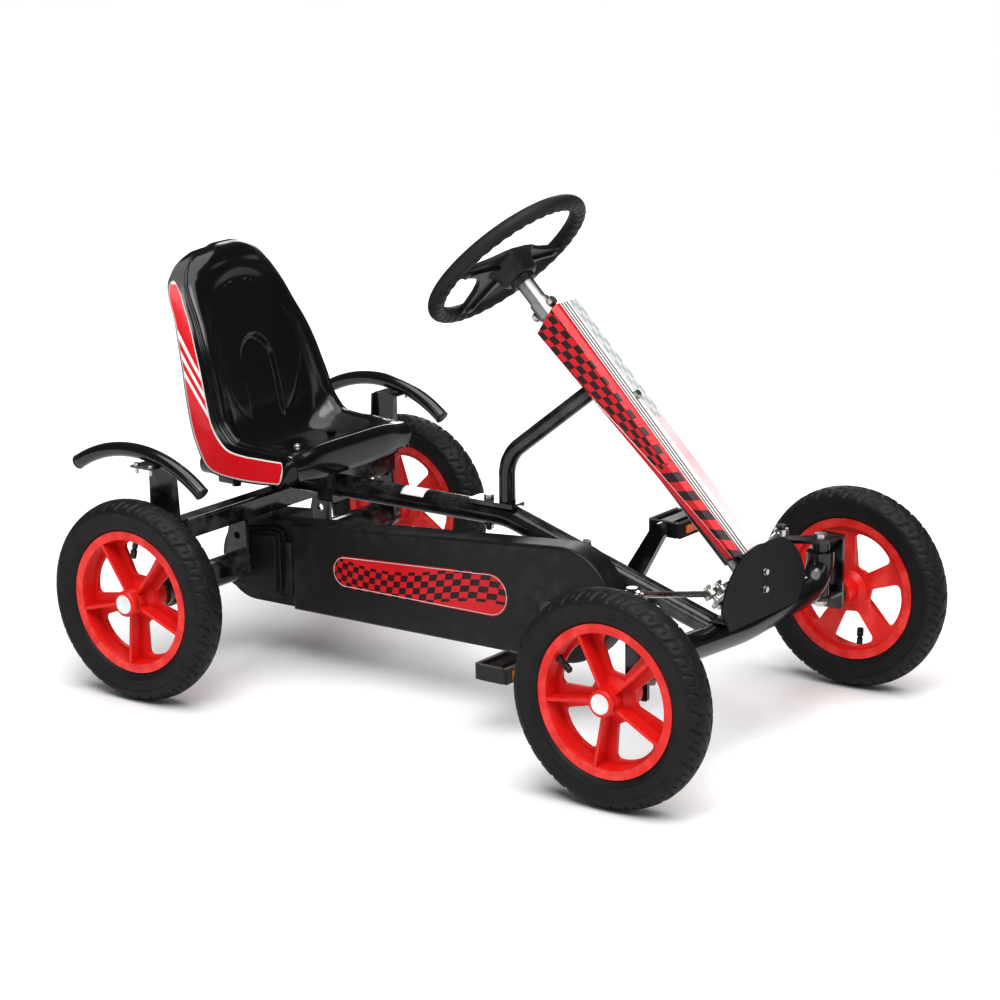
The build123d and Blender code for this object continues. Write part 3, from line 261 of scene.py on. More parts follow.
def film(name, colour_of):
    """Printed film: colour_of(shader) gives the print, with faint mottling and uneven gloss over it."""
    s = Shader(name, 0.3, coat=0.12, specular=0.35)
    ink = colour_of(s)
    s.colour(s.mix(s.span(s.noise(14, 4), 0.4, 0.75, 0.0, 0.12), ink, (0.35, 0.03, 0.03)))
    s.roughness(s.span(s.noise(30, 5), 0.3, 0.7, 0.26, 0.42))
    s.bump(s.noise(350, 2), 0.05)
    return s.mat


RED = (0.60, 0.010, 0.020)
INK = (0.014, 0.004, 0.005)
PALE = (0.80, 0.79, 0.78)
STEER = Vector((0.0, -0.0245, 0.671))
LEAN = math.radians(45)


def along_column(s):
    """Cover coordinates: x, distance down the steering axis, and rise square to it."""
    x, y, z = s.axes()
    dy = s.math("SUBTRACT", y, STEER.y)
    dz = s.math("SUBTRACT", z, STEER.z)
    down = s.math("MULTIPLY", s.math("ADD", dy, dz), -math.sin(LEAN))
    rise = s.math("MULTIPLY", s.math("SUBTRACT", dz, dy), math.sin(LEAN))
    return x, down, rise


def cover_side(s):
    """Chequered band that thins to slanted bars, over a red wedge that widens down the column."""
    _, down, rise = along_column(s)
    low = s.span(down, 0.1227, 0.5597, -0.0145, 0.0110)
    high = s.span(down, 0.1114, 0.5696, 0.0392, 0.0322)
    level = s.math("DIVIDE", s.math("SUBTRACT", rise, low), s.math("SUBTRACT", high, low))
    sill = s.span(down, 0.235, 0.565, 0.03, 0.48)
    brow = s.span(down, 0.12, 0.56, 0.84, 1.0)
    share = s.math("DIVIDE", s.math("SUBTRACT", level, sill), s.math("SUBTRACT", brow, sill))
    bend = s.math("MULTIPLY", s.math("SINE", s.math("MULTIPLY", down, 17.0)), 0.35)
    rows = s.math("ADD", s.math("MULTIPLY", share, 4.0), bend)
    rows = s.math("MULTIPLY", rows, s.math("LESS_THAN", down, 0.40))
    stretch = s.math("SUBTRACT", 75.0, s.math("MULTIPLY", down, 20.0))
    along = s.math("ADD", s.math("MULTIPLY", down, stretch), s.math("MULTIPLY", share, -0.85))
    cells = s.checks(along, rows, 1.0, 1.0)
    band = s.math("MULTIPLY", s.math("GREATER_THAN", share, 0.0), s.math("LESS_THAN", share, 1.0))
    ink = s.mix(s.math("MULTIPLY", cells, band), RED, INK)
    line = s.math("MULTIPLY", s.band(share, -0.055, -0.01, 0.004), s.math("GREATER_THAN", down, 0.25))
    ink = s.mix(line, ink, PALE)
    return s.mix(s.math("LESS_THAN", level, 0.025), ink, INK)


def cover_top(s):
    """Red edge, white stripes between fine dark lines, and a pale chequered far half."""
    x, down, _ = along_column(s)
    tint = s.mix(s.span(down, 0.30, 0.40), (0.60, 0.63, 0.62), (0.86, 0.50, 0.53))
    tint = s.mix(s.span(down, 0.40, 0.56), tint, PALE)
    slant = s.math("ADD", down, s.math("MULTIPLY", x, 0.8))
    cells = s.math("MULTIPLY", s.checks(slant, x, 0.0145, 0.0062), s.math("LESS_THAN", down, 0.33))
    far = s.mix(cells, tint, (0.42, 0.46, 0.46))
    ink = s.mix(s.math("GREATER_THAN", x, 0.0045), PALE, far)
    across = s.math("ADD", x, s.span(down, 0.12, 0.56, 0.0, 0.009))
    ink = s.mix(s.math("LESS_THAN", across, -0.0185), ink, RED)
    for low in (-0.0158, -0.0092, -0.0026):
        ink = s.mix(s.band(across, low, low + 0.0026), ink, INK)
    return ink


def badge_print(s):
    """Waving chequered flag on red, its squares growing towards the front."""
    _, y, z = s.axes()
    middle = s.span(y, -0.08, 0.25, 0.181, 0.172)
    wave = s.math("MULTIPLY", s.math("SINE", s.math("ADD", s.math("MULTIPLY", y, 15.0), 2.4)), 0.013)
    lift = s.math("SUBTRACT", s.math("SUBTRACT", z, middle), wave)
    stretch = s.math("ADD", 62.0, s.math("MULTIPLY", y, 75.0))
    along = s.math("ADD", s.math("MULTIPLY", y, stretch), s.math("MULTIPLY", z, 14.0))
    cells = s.checks(along, lift, 1.0, 0.0098)
    row = s.math("LESS_THAN", s.math("ABSOLUTE", lift), 0.0245)
    return s.mix(s.math("MULTIPLY", cells, row), RED, INK)


def side_print(s):
    """Red with three white stripes slanting down to the front."""
    _, y, z = s.axes()
    slope = s.math("SUBTRACT", s.math("MULTIPLY", y, 0.815), s.math("MULTIPLY", z, 0.577))
    upper = s.math("GREATER_THAN", z, 0.388)
    ink = RED
    for low in (0.1075, 0.1165, 0.1255):
        ink = s.mix(s.math("MULTIPLY", s.band(slope, low, low + 0.0042), upper), ink, PALE)
    return ink


M["tyre"] = tyre_rubber()
M["reflector"] = reflector()
M["cover_side"] = film("cover_side_film", cover_side)
M["cover_top"] = film("cover_top_film", cover_top)
M["badge"] = film("badge_film", badge_print)
M["side"] = film("seat_side_film", side_print)
M["trim"] = plain("pale_trim", (0.62, 0.60, 0.56), (0.48, 0.47, 0.45), 0.3, 0.45, 400, 0.05)
M["red_film"] = plain("red_film", RED, (0.62, 0.015, 0.025), 0.26, 0.42, 350, 0.05, coat=0.25)


# ---------------------------------------------------------------- mesh tools

def piece(name, verts, faces, mats, body, slot, replaces=(), face_mats=None, flat=False, sheet=False):
    """New mesh object from points and faces, riding on a CAD body. An open sheet keeps its own facing."""
    mesh = bpy.data.meshes.new(name)
    mesh.from_pydata([tuple(map(float, v)) for v in verts], [], [tuple(map(int, f)) for f in faces])
    for mat in mats:
        mesh.materials.append(M[mat])
    if face_mats is not None:
        mesh.polygons.foreach_set("material_index", np.asarray(face_mats, dtype=np.int32))
    mesh.validate()
    bm = bmesh.new()
    bm.from_mesh(mesh)
    bmesh.ops.remove_doubles(bm, verts=bm.verts, dist=1e-6)
    if not sheet:
        bmesh.ops.recalc_face_normals(bm, faces=bm.faces)
    bm.to_mesh(mesh)
    bm.free()
    if not flat:
        mesh.shade_smooth()
    obj = bpy.data.objects.new(name, mesh)
    bpy.context.scene.collection.objects.link(obj)
    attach(obj, body)
    if replaces:
        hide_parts(*replaces)
    return obj


def grid_faces(rows, cols, wrap_rows, wrap_cols):
    faces = []
    for i in range(rows if wrap_rows else rows - 1):
        for j in range(cols if wrap_cols else cols - 1):
            a, b = i * cols + j, i * cols + (j + 1) % cols
            c, d = ((i + 1) % rows) * cols + (j + 1) % cols, ((i + 1) % rows) * cols + j
            faces.append((a, b, c, d))
    return faces


def lathe(profile, centre, axis, steps=48):
    """Rings turned about an axis: profile is (radius, distance along axis), first to last point."""
    axis = Vector(axis).normalized()
    side = axis.orthogonal().normalized()
    other = axis.cross(side)
    points, rings = [], len(profile)
    for radius, along in profile:
        for n in range(steps):
            a = 2 * math.pi * n / steps
            points.append(Vector(centre) + axis * along + (side * math.cos(a) + other * math.sin(a)) * radius)
    return points, grid_faces(rings, steps, False, True)


def smooth_edges(obj, width, segments=3, angle=35):
    """Rounded edges, applied as a modifier."""
    bevel = obj.modifiers.new("edges", "BEVEL")
    bevel.width = width
    bevel.segments = segments
    bevel.limit_method = "ANGLE"
    bevel.angle_limit = math.radians(angle)
    bevel.harden_normals = True
    for poly in obj.data.polygons:
        poly.use_smooth = True
    return obj


def prism(outline, origin, u, v, depth):
    """Plate from a 2-D outline: origin + outline in the u and v directions, thick along -u x v."""
    u, v = Vector(u), Vector(v)
    n = u.cross(v).normalized() * depth
    origin = Vector(origin)
    top = [origin + u * a + v * b for a, b in outline]
    count = len(top)
    verts = top + [p - n for p in top]
    faces = [tuple(range(count)), tuple(range(2 * count - 1, count - 1, -1))]
    faces += [(i, i + count, (i + 1) % count + count, (i + 1) % count) for i in range(count)]
    return verts, faces


def joined(parts):
    """Several (points, faces) lists as one."""
    verts, faces = [], []
    for points, sides in parts:
        start = len(verts)
        verts += list(points)
        faces += [tuple(i + start for i in side) for side in sides]
    return verts, faces


# ---------------------------------------------------------------- carried-over CAD nodes

def paint(names, mat):
    for name in names:
        mesh = nodes[name].data
        mesh.materials.clear()
        mesh.materials.append(M[mat])


paint(["main_tube", "front_beam", "column_tube", "column_support", "rear_cross_beam", "axle_hangers",
       "axle_housing", "fender_tubes", "fender_straps", "bottom_bracket_shell", "knuckle_left",
       "knuckle_right", "crank_arm_left", "crank_arm_right", "seat_clamp", "kingpin_sleeves"], "paint")
paint(["number_plate", "seat_bolts"], "plate")
paint(["pitman_arm", "frame_bolts", "steering_bolts", "kingpin_left", "kingpin_right",
       "tie_rod_left", "tie_rod_right", "bottom_bracket_cups", "crank_axle",
       "rear_axle"], "zinc")
paint(["steering_shaft"], "shaft")
paint(["chain", "chainring", "rear_sprocket"], "dark_steel")
paint(["axle_bearings", "wheel_bearings_front_left", "wheel_bearings_front_right",
       "wheel_bearings_rear_left"], "chrome")
paint(["chain_case_upper", "chain_case_lower"], "case")
paint(["chain_case_badge"], "badge")
paint(["column_bushes", "pedal_left", "pedal_right"], "black")
paint(["reflectors_left", "reflectors_right"], "reflector")
paint([f"{part}_{end}_{place}" for part in ("rim", "hub_cap") for end in ("front", "rear")
       for place in SIDES], "red")
paint(["seat_shell"], "seat")
paint(["seat_panels"], "side")
paint(["steering_wheel"], "grip")
paint([f"tyre_{end}_{place}" for end in ("front", "rear") for place in SIDES], "tyre")
paint(["column_cover"], "cover_side")

# ---------------------------------------------------------------- wheels

# the body each wheel rides on, and where its valve stands, in degrees from straight up towards the rear
WHEELS = {
    "front_left": ("wheel_front_left", 186), "front_right": ("wheel_front_right", 62),
    "rear_left": ("wheel_rear_left", 56), "rear_right": ("rear_axle", -3),
}
FRONT_HALF_TRACK, REAR_HALF_TRACK = 0.328, 0.334
AXLE_Y, AXLE_HEIGHT = 0.4303, 0.156
FRONT_CAP, REAR_CAP = 0.030, 0.033
TYRE_STEPS = 540
PITCHES = 36
GROOVE = 0.0027


def tyre_profile():
    """Half profile of the tyre's outside: (half width, radius) from the bead to the crown, mm."""
    return [(16.4, 110.4), (18.6, 111.2), (21.2, 113.6), (23.0, 116.4), (24.0, 118.6), (24.4, 119.4),
            (25.2, 119.9), (25.5, 121.0), (25.2, 122.0), (25.4, 123.2), (26.1, 126.5), (26.6, 130.0),
            (26.9, 133.5), (26.9, 136.4), (27.5, 137.2), (27.8, 138.4), (27.5, 139.6), (27.1, 140.6),
            (26.9, 142.0), (26.2, 143.6), (25.2, 145.2), (24.0, 146.7), (22.6, 148.1), (21.0, 149.4),
            (19.2, 150.6), (17.2, 151.6), (15.0, 152.5), (12.8, 153.3), (10.6, 154.0), (8.4, 154.6),
            (6.3, 155.1), (4.2, 155.5), (2.1, 155.8), (0.0, 155.95)]


def groove_depth(turn, w):
    """How deep the tread is cut at a turn (0 to 1 in one pitch) and half width w, 0 to 1."""
    depth = 0.0
    a = abs(w)
    shift = 0.5 if w < 0 else 0.0
    u = (turn + shift) % 1.0
    pitch_mm = 2 * math.pi * 153 / PITCHES
    if 9.5 < a < 25.8:
        line = 0.30 + 0.30 * (a - 9.5) / 16.3
        gap = abs((u - line + 0.5) % 1.0 - 0.5) * pitch_mm
        depth = max(depth, min(1.0, max(0.0, 2.3 - gap) / 0.9))
    if 9.5 < a < 12.6 and 0.05 < u < 0.34:
        depth = 1.0
    if 14.0 < a < 21.5:
        line = 0.86 + 0.10 * (a - 14.0) / 7.5
        gap = abs((u - line + 0.5) % 1.0 - 0.5) * pitch_mm
        depth = max(depth, min(1.0, max(0.0, 1.7 - gap) / 0.8))
    if a < 5.5:
        line = 0.62 + 0.35 * (w / 5.5)
        gap = abs((turn - line * 0.5 + 0.5) % 1.0 - 0.5) * pitch_mm
        depth = max(depth, min(1.0, max(0.0, 1.9 - gap) / 0.8))
    return depth


TREAD_TOP = 155.91


def make_tyre(name, centre, side):
    half = tyre_profile()
    outer = [(-w, r) for w, r in half] + [(w, r) for w, r in half[::-1][1:]]
    inner = [(16.2, 104.0), (15.0, 103.35), (-15.0, 103.35), (-16.2, 104.0)]
    path = np.array(outer + inner)
    cols = len(path)
    tangent = np.roll(path, -1, 0) - np.roll(path, 1, 0)
    normal = np.stack([-tangent[:, 1], tangent[:, 0]], 1)
    normal /= np.linalg.norm(normal, axis=1)[:, None] + 1e-9
    cut = np.zeros((TYRE_STEPS, cols))
    per = TYRE_STEPS // PITCHES
    for j in range(len(outer)):
        w, r = outer[j]
        if r > 141.5:
            for i in range(per):
                cut[i::per, j] = groove_depth(i / per, w)
    angles = np.arange(TYRE_STEPS) * 2 * math.pi / TYRE_STEPS
    moved = path[None, :, :] - normal[None, :, :] * cut[:, :, None] * GROOVE * 1000
    w, r = moved[:, :, 0], np.minimum(moved[:, :, 1], TREAD_TOP)
    x = centre[0] + side * w / 1000
    y = centre[1] + r / 1000 * np.sin(angles)[:, None]
    z = centre[2] + r / 1000 * np.cos(angles)[:, None]
    verts = np.stack([x, y, z], -1).reshape(-1, 3)
    body = WHEELS[name][0]
    return piece(f"tyre_{name}_tread", verts, grid_faces(TYRE_STEPS, cols, True, True), ["tyre"], body,
                 "tyre", [f"tyre_{name}"])


def make_valve(name, centre, side, angle):
    """Black valve stem with a ribbed cap, standing on the rim's inner wall."""
    a = math.radians(angle)
    out = Vector((0, math.sin(a), math.cos(a)))
    foot = Vector(centre) + out * 0.0955 + Vector((side * 0.004, 0, 0))
    axis = (-out + Vector((side * 0.28, 0, 0))).normalized()
    stem = [(0.0, -0.002), (0.0062, -0.002), (0.0062, 0.001), (0.0044, 0.003),
            (0.0042, 0.013), (0.0032, 0.0134), (0.0032, 0.0155), (0.0, 0.0155)]
    cap = [(0.0, 0.0152), (0.0046, 0.0154), (0.005, 0.0165), (0.005, 0.018),
           (0.0046, 0.0183), (0.005, 0.0187), (0.005, 0.021), (0.0046, 0.0213),
           (0.005, 0.0217), (0.0049, 0.0265), (0.0036, 0.0285), (0.0, 0.0288)]
    verts, faces = joined([lathe(stem, foot, axis, 20), lathe(cap, foot, axis, 20)])
    return piece(f"valve_{name}", verts, faces, ["black"], WHEELS[name][0], "black_plastic")


def make_cap(name, centre, side, height):
    """Red hub cap with a shallow recess in its face, and the white disc that fills the recess."""
    hub_out, floor_of_recess = 0.0201, height - 0.0012
    profile = [(0.0, floor_of_recess), (0.0149, floor_of_recess), (0.0150, height - 0.0001),
               (0.0155, height), (0.0180, height - 0.0015), (0.0195, height - 0.0032),
               (0.0200, height - 0.0045), (0.0200, hub_out), (0.0165, hub_out),
               (0.0155, height - 0.0030), (0.0, height - 0.0030)]
    verts, faces = lathe(profile, centre, (side, 0, 0), 64)
    piece(f"hub_cap_shell_{name}", verts, faces, ["red"], WHEELS[name][0], "white_plastic",
          [f"hub_cap_{name}"])
    profile = [(0.0, height - 0.0016), (0.0146, height - 0.0016), (0.0146, height - 0.0006),
               (0.0142, height - 0.0002), (0.0130, height - 0.0001), (0.0122, height - 0.0005),
               (0.0, height - 0.0002)]
    verts, faces = lathe(profile, centre, (side, 0, 0), 56)
    piece(f"hub_disc_{name}", verts, faces, ["white"], WHEELS[name][0], "white_plastic")


for name, (body, valve) in WHEELS.items():
    end, place = name.split("_")
    side, front = SIDES[place], end == "front"
    half_track = FRONT_HALF_TRACK if front else REAR_HALF_TRACK
    centre = (side * half_track, -AXLE_Y if front else AXLE_Y, AXLE_HEIGHT)
    make_tyre(name, centre, side)
    make_valve(name, centre, side, valve)
    make_cap(name, centre, side, FRONT_CAP if front else REAR_CAP)

# ---------------------------------------------------------------- steering wheel

STEER_X = Vector((1, 0, 0))
STEER_DOWN = Vector((0, math.sin(LEAN), -math.cos(LEAN)))
STEER_AXIS = Vector((0, math.sin(LEAN), math.cos(LEAN)))


def make_grip():
    major, minor = 240, 28
    verts = []
    for i in range(major):
        a = 2 * math.pi * i / major
        out = STEER_X * math.cos(a) + STEER_DOWN * math.sin(a)
        for j in range(minor):
            b = 2 * math.pi * j / minor
            lower = max(0.0, -math.sin(b + 0.5))
            ridge = 0.5 - 0.5 * math.cos(a * 40)
            flat = 1.0 - 0.05 * max(0.0, math.sin(b))
            radius = 0.0125 * flat - 0.0014 * lower ** 0.7 * ridge
            verts.append(STEER + out * (0.128 + radius * math.cos(b)) + STEER_AXIS * radius * math.sin(b))
    return verts, grid_faces(major, minor, True, True)


def rounded(width, height, radius, steps=5):
    points = []
    for cx, cy, start in ((1, 1, 0), (-1, 1, 90), (-1, -1, 180), (1, -1, 270)):
        for n in range(steps + 1):
            a = math.radians(start + 90 * n / steps)
            points.append((cx * (width / 2 - radius) + radius * math.cos(a),
                           cy * (height / 2 - radius) + radius * math.sin(a)))
    return points


def loft(rings):
    """Closed shell through rings of equal point count, capped at both ends."""
    count = len(rings[0])
    verts = [p for ring in rings for p in ring]
    faces = grid_faces(len(rings), count, False, True)
    faces.append(tuple(range(count - 1, -1, -1)))
    faces.append(tuple(range((len(rings) - 1) * count, len(rings) * count)))
    return verts, faces


def make_spokes():
    """The wheel's three-armed web with its raised boss pad, and the tapered hub box below it."""
    arm = [(-121, -9), (-96, -12), (-60, -19), (-36, -27), (-18, -31), (18, -31), (36, -27), (60, -19),
           (96, -12), (121, -9), (122, 7), (98, 11), (70, 18), (48, 30), (34, 48), (24, 70), (17, 96),
           (14, 121), (-14, 121), (-17, 96), (-24, 70), (-34, 48), (-48, 30), (-70, 18), (-98, 11), (-122, 7)]
    outline = [(a / 1000, b / 1000) for a, b in arm]

    def ring(points, down):
        return [STEER + STEER_X * a + STEER_DOWN * b - STEER_AXIS * down for a, b in points]

    web = loft([ring([(a * 0.985, b * 0.985) for a, b in outline], 0.0085), ring(outline, 0.0075),
                ring(outline, 0.0015), ring([(a * 0.985, b * 0.985) for a, b in outline], 0.0003)])
    box = loft([ring(rounded(w, h, 0.017), down) for w, h, down in (
        (0.040, 0.040, 0.0380), (0.046, 0.046, 0.0372), (0.050, 0.050, 0.034), (0.054, 0.054, 0.022),
        (0.062, 0.060, 0.0115), (0.078, 0.070, 0.004))])
    collar = loft([ring(rounded(w, w, w / 2 - 0.0001, 8), down) for w, down in (
        (0.036, 0.046), (0.039, 0.0445), (0.040, 0.036))])
    parts = [web, box, collar]
    for a in (0.0, math.pi, math.pi / 2):
        out = STEER_X * math.cos(a) + STEER_DOWN * math.sin(a)
        parts.append(lathe([(0.0, -0.0125), (0.0058, -0.0125), (0.0072, -0.011), (0.0085, 0.0)],
                           STEER + out * 0.108, STEER_AXIS, 24))
        tangent = STEER_AXIS.cross(out)
        parts.append(prism([(0.020, -0.0022), (0.100, -0.0022), (0.100, 0.0022), (0.020, 0.0022)],
                           STEER - STEER_AXIS * 0.0075, out, tangent, 0.006))
    return joined(parts)


grip = make_grip()
spokes = make_spokes()
verts, faces = joined([grip, spokes])
kinds = [0] * len(grip[1]) + [1] * len(spokes[1])
wheel = piece("steering_wheel_moulded", verts, faces, ["grip", "black"], "steering", "dark_plastic",
              ["steering_wheel"], kinds)
mod = wheel.modifiers.new("edges", "EDGE_SPLIT")
mod.split_angle = math.radians(42)

# ---------------------------------------------------------------- seat

# one row per station from the front lip round the pan and up the back, in metres:
# middle of the bucket (y, z), bead (y, z), lower edge of the side wall (y, z), bead's half width
SEAT_STATIONS = np.array([
    (.2765, .3120, .2775, .3180, .2889, .3165, .128),
    (.2705, .3220, .2735, .3250, .2885, .3250, .137),
    (.2672, .3400, .2710, .3400, .2877, .3400, .142),
    (.2690, .3570, .2755, .3500, .2872, .3495, .1435),
    (.2770, .3650, .2830, .3545, .2870, .3540, .1440),
    (.2830, .3645, .2890, .3560, .2890, .3148, .1440),
    (.2900, .3620, .2980, .3560, .3000, .3140, .1440),
    (.3060, .3510, .3120, .3560, .3150, .3125, .1435),
    (.3250, .3400, .3300, .3560, .3350, .3110, .1430),
    (.3450, .3350, .3480, .3560, .3560, .3100, .1420),
    (.3700, .3320, .3700, .3560, .3800, .3100, .1415),
    (.4050, .3330, .4000, .3610, .4200, .3135, .1415),
    (.4280, .3440, .4180, .3770, .4430, .3250, .1420),
    (.4410, .3700, .4310, .3960, .4620, .3620, .1420),
    (.4480, .4050, .4390, .4200, .4730, .3950, .1405),
    (.4560, .4400, .4460, .4400, .4820, .4320, .1380),
    (.4660, .4750, .4580, .4740, .4910, .4700, .1335),
    (.4760, .5100, .4720, .5060, .5020, .5050, .1280),
    (.4870, .5450, .4890, .5380, .5150, .5420, .1200),
    (.4985, .5800, .5060, .5680, .5290, .5720, .1145),
    (.5040, .6060, .5200, .5920, .5380, .5940, .1070),
    (.5050, .6220, .5270, .6090, .5410, .6080, .0960),
    (.5090, .6350, .5310, .6230, .5430, .6210, .0810),
    (.5180, .6430, .5345, .6340, .5435, .6310, .0600),
    (.5290, .6465, .5370, .6400, .5430, .6370, .0400),
    (.5390, .6440, .5400, .6390, .5430, .6340, .0340)])
# one row per point across half the section: share of half width, blend from middle to bead,
# height of the bolster, blend from bead to the wall's lower edge
SEAT_SECTION = np.array([
    (.00, .00, 0, 0), (.14, .00, 0, 0), (.30, .00, 0, 0), (.46, .04, 0, 0), (.58, .14, .05, 0),
    (.68, .34, .22, 0),
    (.76, .58, .58, 0), (.82, .78, .90, 0), (.87, .90, 1.0, 0), (.91, .97, .86, 0), (.940, 1, .55, 0),
    (.952, 1, .52, 0), (.962, 1, .62, 0), (.972, 1, .50, 0), (.980, 1, .24, 0), (.988, 1, .20, 0),
    (.994, 1, .24, 0),
    (1.0, 1, .10, .02), (1.0, 1, 0, .10), (1.0, 1, 0, .40), (1.0, 1, 0, .75), (1.0, 1, 0, 1.0)])
# how far the wall leans out at its lower edge, and how much of the bolster each station has
SEAT_FLARE = [.0303, .0187, .0089, .0037, .0008] + [.015] * (len(SEAT_STATIONS) - 5)
SEAT_SWELL = [0, 0, 0, 0, .1, .2, .4, .75] + [1] * (len(SEAT_STATIONS) - 8)
SEAT_STATIONS = np.column_stack([SEAT_STATIONS, SEAT_FLARE, SEAT_SWELL])
BOLSTER = 0.0095


def spline(values, steps):
    """Points evenly spaced in station number on a centripetal-like Catmull-Rom curve."""
    values = np.asarray(values, dtype=float)
    count = len(values)
    t = np.linspace(0, count - 1, steps)
    i = np.clip(t.astype(int), 0, count - 2)
    f = (t - i)[:, None]
    p0 = values[np.clip(i - 1, 0, count - 1)]
    p1, p2 = values[i], values[i + 1]
    p3 = values[np.clip(i + 2, 0, count - 1)]
    return 0.5 * (2 * p1 + (p2 - p0) * f + (2 * p0 - 5 * p1 + 4 * p2 - p3) * f ** 2
                  + (3 * p1 - p0 - 3 * p2 + p3) * f ** 3)


def seat_points(stations, section):
    """Grid of points over the right half of the seat: rows along it, columns across it."""
    middle, bead, edge = stations[:, 0:2], stations[:, 2:4], stations[:, 4:6]
    half, flare, swell = stations[:, 6:].T
    share, blend, lift, drop = section.T
    run = np.gradient(middle, axis=0)
    inward = np.stack([-run[:, 1], run[:, 0]], -1)
    inward /= np.linalg.norm(inward, axis=1)[:, None] + 1e-9
    yz = middle[:, None] + (bead - middle)[:, None] * blend[None, :, None]
    fade = np.clip((half - 0.045) / 0.06, 0, 1) * swell
    yz += inward[:, None] * (fade[:, None] * lift[None, :] * BOLSTER)[..., None]
    yz += (edge - bead)[:, None] * drop[None, :, None]
    x = half[:, None] * share[None, :] + flare[:, None] * drop[None, :] ** 0.8
    return np.stack([x, yz[..., 0], yz[..., 1]], -1)


def smooth_step(value):
    value = np.clip(value, 0, 1)
    return value * value * (3 - 2 * value)


def make_seat():
    stations = spline(SEAT_STATIONS, 230)
    section = spline(SEAT_SECTION, 900)
    step = np.abs(np.diff(section, axis=0)) @ np.array([0.14, 0.01, 0.01, 0.045])
    run = np.concatenate([[0], np.cumsum(step)])
    even = np.linspace(0, run[-1], 105)
    section = np.stack([np.interp(even, run, column) for column in section.T], -1)
    section[:, [0, 1, 3]] = np.clip(section[:, [0, 1, 3]], 0, 1)
    right = seat_points(stations, section)
    left = right[:, :0:-1] * (-1, 1, 1)
    points = np.concatenate([left, right], 1)
    run = np.gradient(points, axis=0)
    across = np.gradient(points, axis=1)
    normal = np.cross(across, run)
    normal /= np.linalg.norm(normal, axis=-1)[..., None] + 1e-12
    x, y, z = points[..., 0], points[..., 1], points[..., 2]
    back = y > 0.42
    # a pressed channel up the small of the back, and a fine groove round the shoulders
    half = np.where(z < 0.462, 0.041, 0.041 * np.sqrt(np.clip(1 - ((z - 0.462) / 0.040) ** 2, 0, 1)))
    hollow = smooth_step((half - np.abs(x)) / 0.009) * smooth_step((z - 0.345) / 0.05) * back
    oval = np.hypot(x / 0.094, (z - 0.487) / np.where(z > 0.487, 0.098, 0.125))
    groove = smooth_step(1 - np.abs(oval - 1) / 0.020) * smooth_step((z - 0.372) / 0.01) * back
    above = smooth_step((z - 0.55) / 0.05) * back * (np.abs(x) < 0.1)
    brow = smooth_step(1 - np.abs(oval - 1.22) / 0.16) * above
    sink = hollow * 0.0075 + groove * 0.0016 - brow * 0.0020
    points = points - normal * sink[..., None]
    rows, cols = points.shape[:2]
    return points.reshape(-1, 3), grid_faces(rows, cols, False, False)


verts, faces = make_seat()
seat = piece("seat_moulding", verts, faces, ["seat"], "seat", "seat_plastic", ["seat_shell"], sheet=True)
thick = seat.modifiers.new("sheet", "SOLIDIFY")
thick.thickness = 0.0034
thick.offset = -1.0


def make_side_panel(side):
    """Printed film on the seat's side: a red strip with a pale border, from the front up the back."""
    stations = spline(SEAT_STATIONS, 251)[51:205]
    rows = len(stations)
    t = np.linspace(0, 1, rows)
    ends = np.sqrt(np.clip(t / 0.045, 0, 1)) * np.clip((1 - t) / 0.06, 0, 1) ** 0.6
    middle = 0.55
    near = middle - (middle - 0.16) * ends
    far = middle + (0.95 - middle) * (0.25 + 0.75 * ends)
    marks = np.array([0.0, 0.07, 0.085, 0.25, 0.5, 0.75, 0.915, 0.93, 1.0])
    share = near[:, None] + (far - near)[:, None] * marks[None, :]
    section = np.stack([np.ones(41), np.ones(41), np.zeros(41), np.linspace(0, 1, 41)], -1)
    wall = seat_points(stations, section)
    place = share * 40
    low = np.clip(place.astype(int), 0, 39)
    part = (place - low)[..., None]
    index = np.arange(rows)[:, None]
    points = wall[index, low] * (1 - part) + wall[index, low + 1] * part
    points[..., 0] = side * (points[..., 0] + 0.0008)
    cols = len(marks)
    kinds = [1 if j in (0, cols - 2) or i < 3 or i > rows - 5 else 0
             for i in range(rows - 1) for j in range(cols - 1)]
    return points.reshape(-1, 3), grid_faces(rows, cols, False, False), kinds


panel_verts, panel_faces, kinds = [], [], []
for side in SIDES.values():
    v, f, k = make_side_panel(side)
    start = len(panel_verts)
    panel_verts += list(v)
    panel_faces += [tuple(i + start for i in face) for face in f]
    kinds += k
panels = piece("seat_side_films", panel_verts, panel_faces, ["side", "trim"], "seat", "red_decal",
               ["seat_panels"], kinds)
thin = panels.modifiers.new("film", "SOLIDIFY")
thin.thickness = 0.0006
thin.offset = 0.0

# ---------------------------------------------------------------- column cover film

